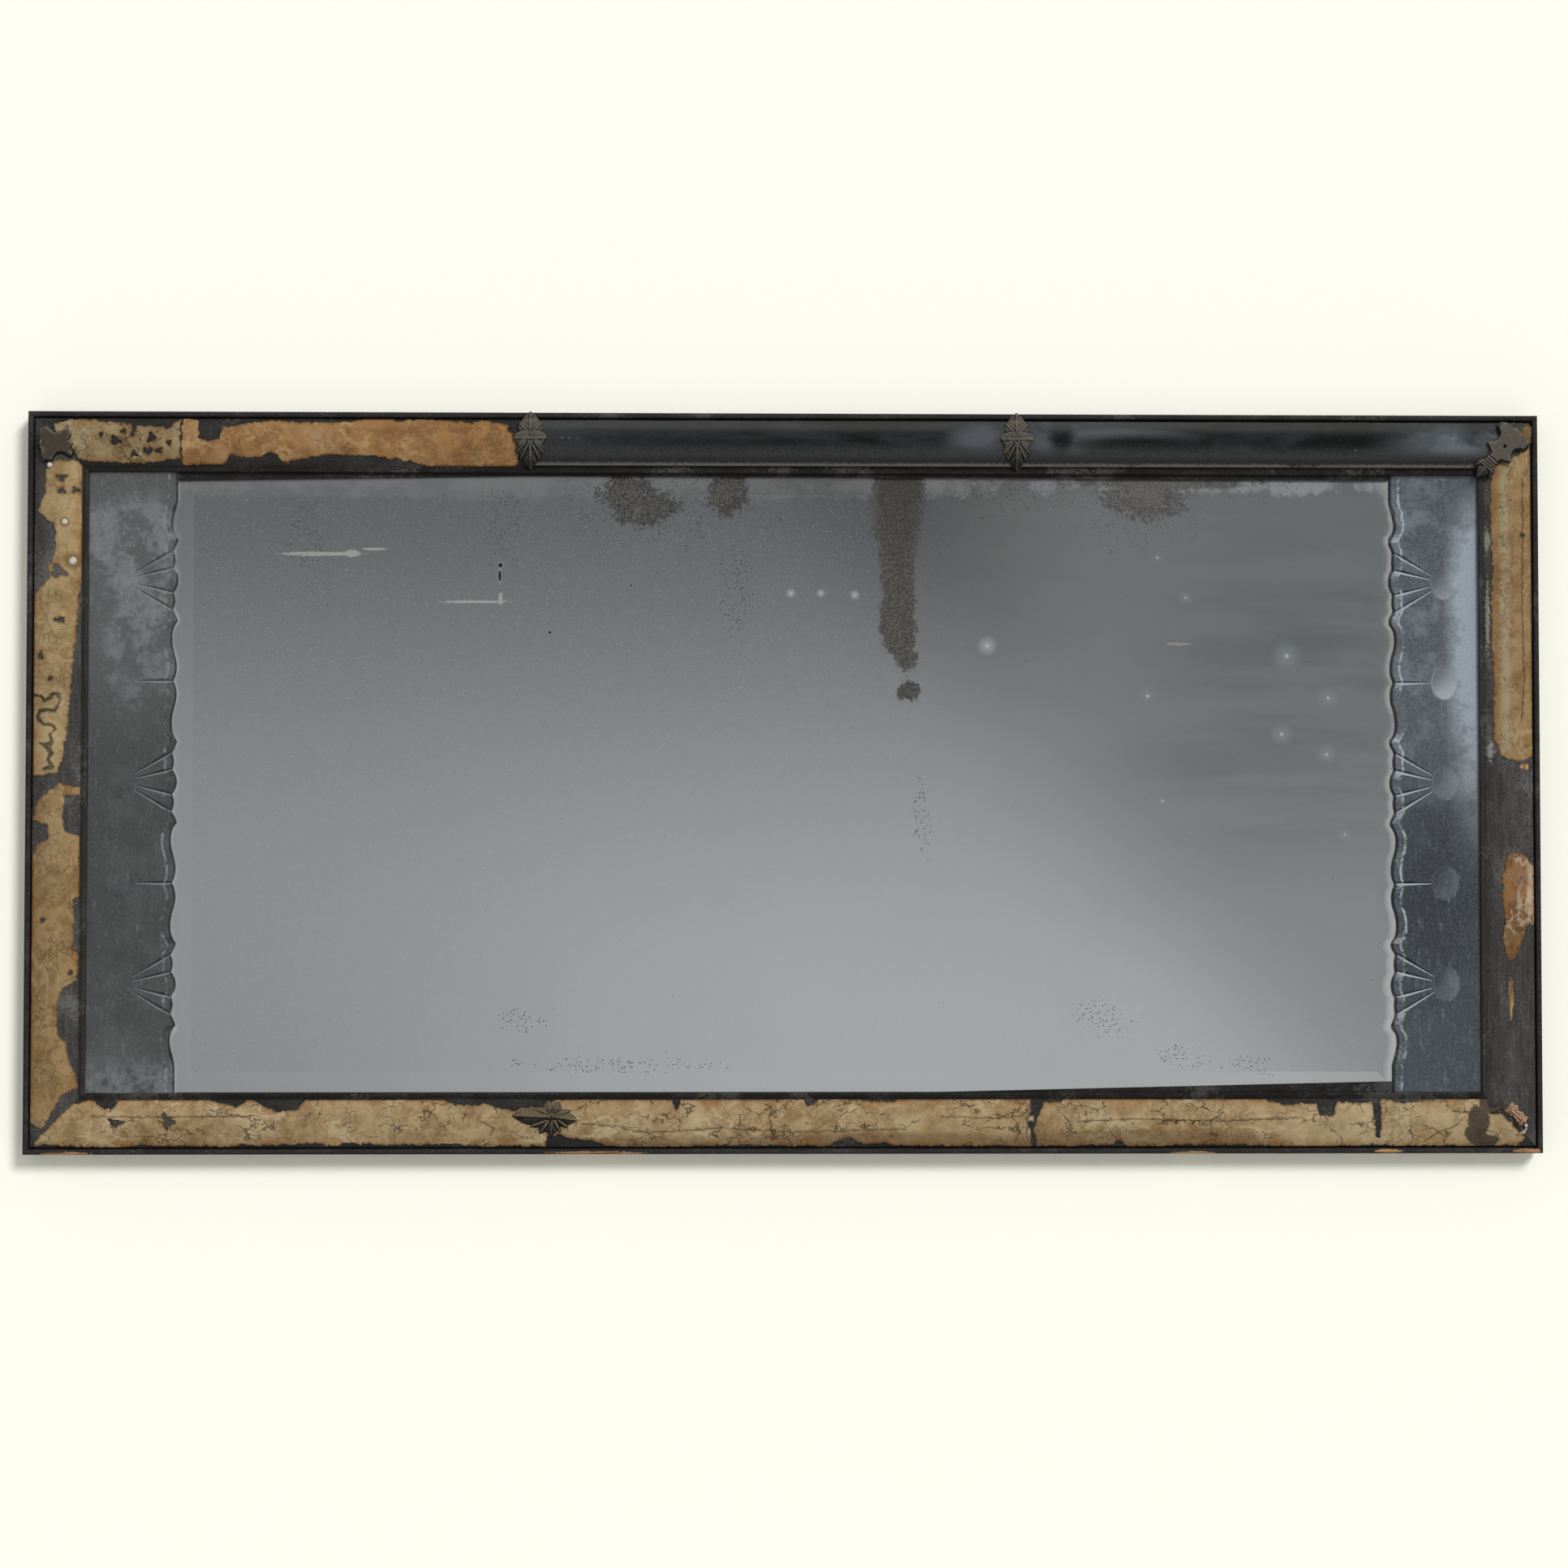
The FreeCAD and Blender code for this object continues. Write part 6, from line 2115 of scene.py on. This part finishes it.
PIN_HEADS = Heads(
    "pin_heads", IRON, "black_iron",
    (
        ((-315.0, 420.0), 1.4, 8.4),
        ((284.5, 420.0), 1.4, 8.4),
        ((-287.0, -410.0), 2.0, 6.0),
        ((888.0, 416.0), 2.2, 10.2),
    ),
    "ornament_pins",
)
HANGERS = tuple(f"hanger_{part}_{side}" for part in ("plate", "pin", "ring") for side in ("left", "right"))
Finish = BlackWood | RawWood | PlateGlass | SideGlass | BentGlass | Metal


@dataclass(frozen=True)
class DressedNodes:
    """The nodes of the frame that keep their own shape, and the finish that each gets."""

    finishes: tuple[tuple[Finish, tuple[str, ...]], ...] = (
        (BEAD_BLACK, ("outer_bead_top", "outer_bead_left", "outer_bead_right")),
        (BLACK_LEVEL, ("outer_bead_bottom", "cushion_top", "cushion_bottom")),
        (BLACK_UPRIGHT, ("cushion_left", "cushion_right")),
        (SLIP_BLACK, ("slip_top", "slip_bottom", "sight_bead_top", "sight_bead_bottom")),
        (
            BlackWood("black_wood_sight", Grain.UPRIGHT, colour=paint(56, 55, 52)),
            ("sight_bead_left", "sight_bead_right"),
        ),
        (PlateGlass(), ("main_plate",)),
        (
            SideGlass(
                "side_mirror_left", paint(176, 178, 178), paint(140, 141, 140), paint(132, 138, 142),
                clouded=0.85, glint=0.55, foot=0.8, oval_x=-816.0, outer=-0.862, edge_shade=0.8,
                dim=(((-810.0, -150.0), (70.0, 150.0)),), dimmed=0.2, oval_light=0.35,
                cut=ScallopedEdge("side_plate_left", 1.0),
            ),
            ("side_plate_left",),
        ),
        (
            SideGlass(
                "side_mirror_right", paint(158, 166, 176), paint(122, 129, 138), paint(170, 180, 190),
                cloud_from=-0.17, cloud_to=0.14, clouded=0.45, edge_haze=1.75, outer=0.862, wear=0.4,
                glint=1.0, oval_x=814.5,
                dim=(((797.0, -150.0), (52.0, 95.0)), ((803.0, -70.0), (42.0, 70.0))),
                cut=ScallopedEdge("side_plate_right", -1.0),
            ),
            ("side_plate_right",),
        ),
        (BentGlass(), ("cushion_glass_centre", "cushion_glass_right")),
        (PINE_LEVEL, ("rail_top", "rail_bottom", "retaining_blocks")),
        (PINE_BOARD_PALE, ("backboard_left_lower", "backboard_right_middle")),
        (PINE_BOARD_RED, ("backboard_left_middle", "backboard_right_upper")),
        (PINE_BOARD_GREY, ("backboard_left_upper", "backboard_right_lower")),
        (PINE_UPRIGHT, ("stile_left", "stile_right", "back_muntin", "packing_left", "packing_right")),
        (PEG_WOOD, ("corner_pegs",)),
        (IRON, ("muntin_nails", "hanger_screws") + HANGERS),
    )

    def dress(self) -> None:
        """Gives each node its finish."""
        for finish, names in self.finishes:
            material = finish.material()
            for name in names:
                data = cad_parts[name].data
                data.materials.clear()
                data.materials.append(material)
                log.info("%s: %s", name, material.name)


@dataclass(frozen=True)
class Studio:
    """A pale wall and floor, soft light from the upper right, and the camera of the photograph."""

    distance: float = 5.0
    view_width: float = 1.9262
    sensor_width: float = 36.0
    target: Triple = (-0.0026, -0.035, -0.0022)
    left: float = 0.12
    below: float = 0.22
    wall_half: float = 6.0
    wall_gap: float = 0.001
    wall_lit: float = 0.9
    floor_half: float = 8.0
    floor_drop: float = 1.3
    floor_lit: float = 0.5
    room_half: float = 3.2
    room_gap: float = 2.0
    room_dark: float = 0.145
    room_rise: float = 0.345
    room_slope: float = 0.38
    room_corner: float = 0.34
    room_tint: Colour = (0.975, 0.992, 1.0, 1.0)
    pale: Colour = (1.0, 1.0, 0.905, 1.0)
    white: Colour = (1.0, 1.0, 1.0, 1.0)
    black: Colour = (0.0, 0.0, 0.0, 1.0)
    dim: Colour = (0.16, 0.165, 0.17, 1.0)
    soft_power: float = 0.45
    key_power: float = 2.2
    key_spread: float = 0.3
    key_heading: Triple = (-0.5, 1.0, -0.56)
    back_place: Triple = (0.8, 3.6, 1.6)
    back_size: float = 2.4
    back_power: float = 90.0

    def sheet(
        self, name: str, half: float, upright: bool, away: float, material: bpy.types.Material
    ) -> bpy.types.Object:
        """A flat square sheet of the stage.

        Args:
            name: Its name.
            half: Half its side, in metres.
            upright: Whether it stands like the wall.
            away: How far back it stands, or how high it lies.
            material: Its finish.

        Returns:
            The sheet.
        """
        mesh = bmesh.new()
        bmesh.ops.create_grid(mesh, x_segments=1, y_segments=1, size=half)
        data = bpy.data.meshes.new(name)
        mesh.to_mesh(data)
        mesh.free()
        for vert in data.vertices:
            vert.co = Vector((vert.co.x, away, vert.co.y) if upright else (vert.co.x, vert.co.y, away))
        data.materials.append(material)
        made = bpy.data.objects.new(name, data)
        bpy.context.scene.collection.objects.link(made)
        return made

    def pale_surface(self, name: str, lit: float, one_sided: bool) -> bpy.types.Material:
        """A pale surface that keeps shadows.

        Args:
            name: The material's name.
            lit: The share of its brightness that comes from the lamps.
            one_sided: Whether it is clear from behind.

        Returns:
            The material.
        """
        shader = Shader(name)
        tint = tuple(part * lit for part in self.pale[:3]) + (1.0,)
        matt = shader.node("BsdfDiffuse", None, {"Color": tint})
        seen = Value(shader, shader.node("LightPath").outputs["Is Camera Ray"])
        glow = shader.node("Emission", None, {"Color": shader.blend(seen * (1 - lit), self.black, self.pale)})
        both = shader.node("AddShader", None, {0: matt.outputs[0], 1: glow.outputs[0]}).outputs[0]
        if one_sided:
            behind = shader.node("NewGeometry").outputs["Backfacing"]
            clear = shader.node("BsdfTransparent").outputs[0]
            both = shader.node("MixShader", None, {0: behind, 1: both, 2: clear}).outputs[0]
        shader.node("OutputMaterial", None, {"Surface": both})
        return shader.material

    def grey_room(self) -> bpy.types.Material:
        """What the plates reflect: a dim room, lighter below, with a dark slope across its right half.

        Returns:
            The material.
        """
        shader = Shader("grey_room")
        spread = (2 * self.distance + self.room_gap) / self.distance
        x = (shader.x + self.left) / spread - self.left
        z = (shader.z + self.below) / spread - self.below
        light = self.room_dark + z.ramp(0.42, -0.30) * self.room_rise
        slope = (z - 0.2655 + (x - 0.186) * 1.18) * 0.646
        light = light * (1 - slope.ramp(-0.17, 0.06) * self.room_slope)
        light = light * (1 - (-x).ramp(-0.05, 0.80) * z.ramp(0.30, -0.36) * self.room_corner)
        glow = shader.node("Emission", None, {"Color": shader.blend(light, self.black, self.room_tint)})
        shader.node("OutputMaterial", None, {"Surface": glow.outputs[0]})
        return shader.material

    def build(self) -> None:
        """Builds the stage, the lamps, the world and the camera."""
        pale_wall = self.pale_surface("pale_wall", self.wall_lit, True)
        wall = self.sheet("stage_wall", self.wall_half, True, self.wall_gap, pale_wall)
        wall.visible_diffuse = wall.visible_glossy = wall.visible_shadow = False
        pale_floor = self.pale_surface("pale_floor", self.floor_lit, False)
        floor = self.sheet("stage_floor", self.floor_half, False, -self.floor_drop, pale_floor)
        floor.visible_glossy = False
        away = -self.distance - self.room_gap
        room = self.sheet("stage_room", self.room_half, True, away, self.grey_room())
        room.visible_camera = room.visible_diffuse = room.visible_shadow = False
        self.sun()
        self.back_light()
        self.world()
        self.camera()

    def sun(self) -> None:
        """Adds the key light: even over the whole wall, from the upper right, with soft shadows."""
        data = bpy.data.lights.new("key_light", "SUN")
        data.energy = self.key_power
        data.angle = self.key_spread
        lamp = bpy.data.objects.new("key_light", data)
        lamp.rotation_euler = Vector(self.key_heading).to_track_quat("-Z", "Y").to_euler()
        lamp.visible_glossy = False
        bpy.context.scene.collection.objects.link(lamp)

    def back_light(self) -> None:
        """Adds a square softbox behind the mirror, which faces it."""
        data = bpy.data.lights.new("back_softbox", "AREA")
        data.size = self.back_size
        data.energy = self.back_power
        lamp = bpy.data.objects.new("back_softbox", data)
        lamp.location = self.back_place
        lamp.rotation_euler = (-Vector(self.back_place)).to_track_quat("-Z", "Y").to_euler()
        bpy.context.scene.collection.objects.link(lamp)

    def world(self) -> None:
        """Pale for the camera, an even soft light for the rest, and dim in reflections."""
        made = bpy.data.worlds.new("studio")
        bpy.context.scene.world = made
        nodes = NodeTree(made)
        ray = nodes.node("LightPath").outputs
        soft = nodes.node("Background", None, {"Color": self.white, "Strength": self.soft_power}).outputs[0]
        dim = nodes.node("Background", None, {"Color": self.dim}).outputs[0]
        shown = nodes.node("Background", None, {"Color": self.pale}).outputs[0]
        unseen = nodes.node("MixShader", None, {0: ray["Is Glossy Ray"], 1: soft, 2: dim}).outputs[0]
        both = nodes.node("MixShader", None, {0: ray["Is Camera Ray"], 1: unseen, 2: shown}).outputs[0]
        nodes.node("OutputWorld", None, {0: both})

    def camera(self) -> None:
        """Adds the camera: straight in front, a little low and to the left."""
        data = bpy.data.cameras.new("photo_camera")
        data.sensor_width = self.sensor_width
        data.lens = data.sensor_width * self.distance / self.view_width
        made = bpy.data.objects.new("photo_camera", data)
        target = Vector(self.target)
        made.location = target + Vector((-self.left, -self.distance, -self.below))
        made.rotation_euler = (target - made.location).to_track_quat("-Z", "Y").to_euler()
        bpy.context.scene.collection.objects.link(made)
        bpy.context.scene.camera = made
        bpy.context.scene.view_settings.view_transform = "Standard"


def main() -> None:
    """Builds the mirror's pieces and the studio."""
    logging.basicConfig(level=logging.INFO, format="%(name)s: %(message)s")
    moulding = Moulding.measure()
    DressedNodes().dress()
    LiningPapers().build(moulding)
    Ornaments().build(moulding)
    TACK_HEADS.build(moulding)
    PIN_HEADS.build(moulding)
    Studio().build()


if __name__ == "__main__":
    main()
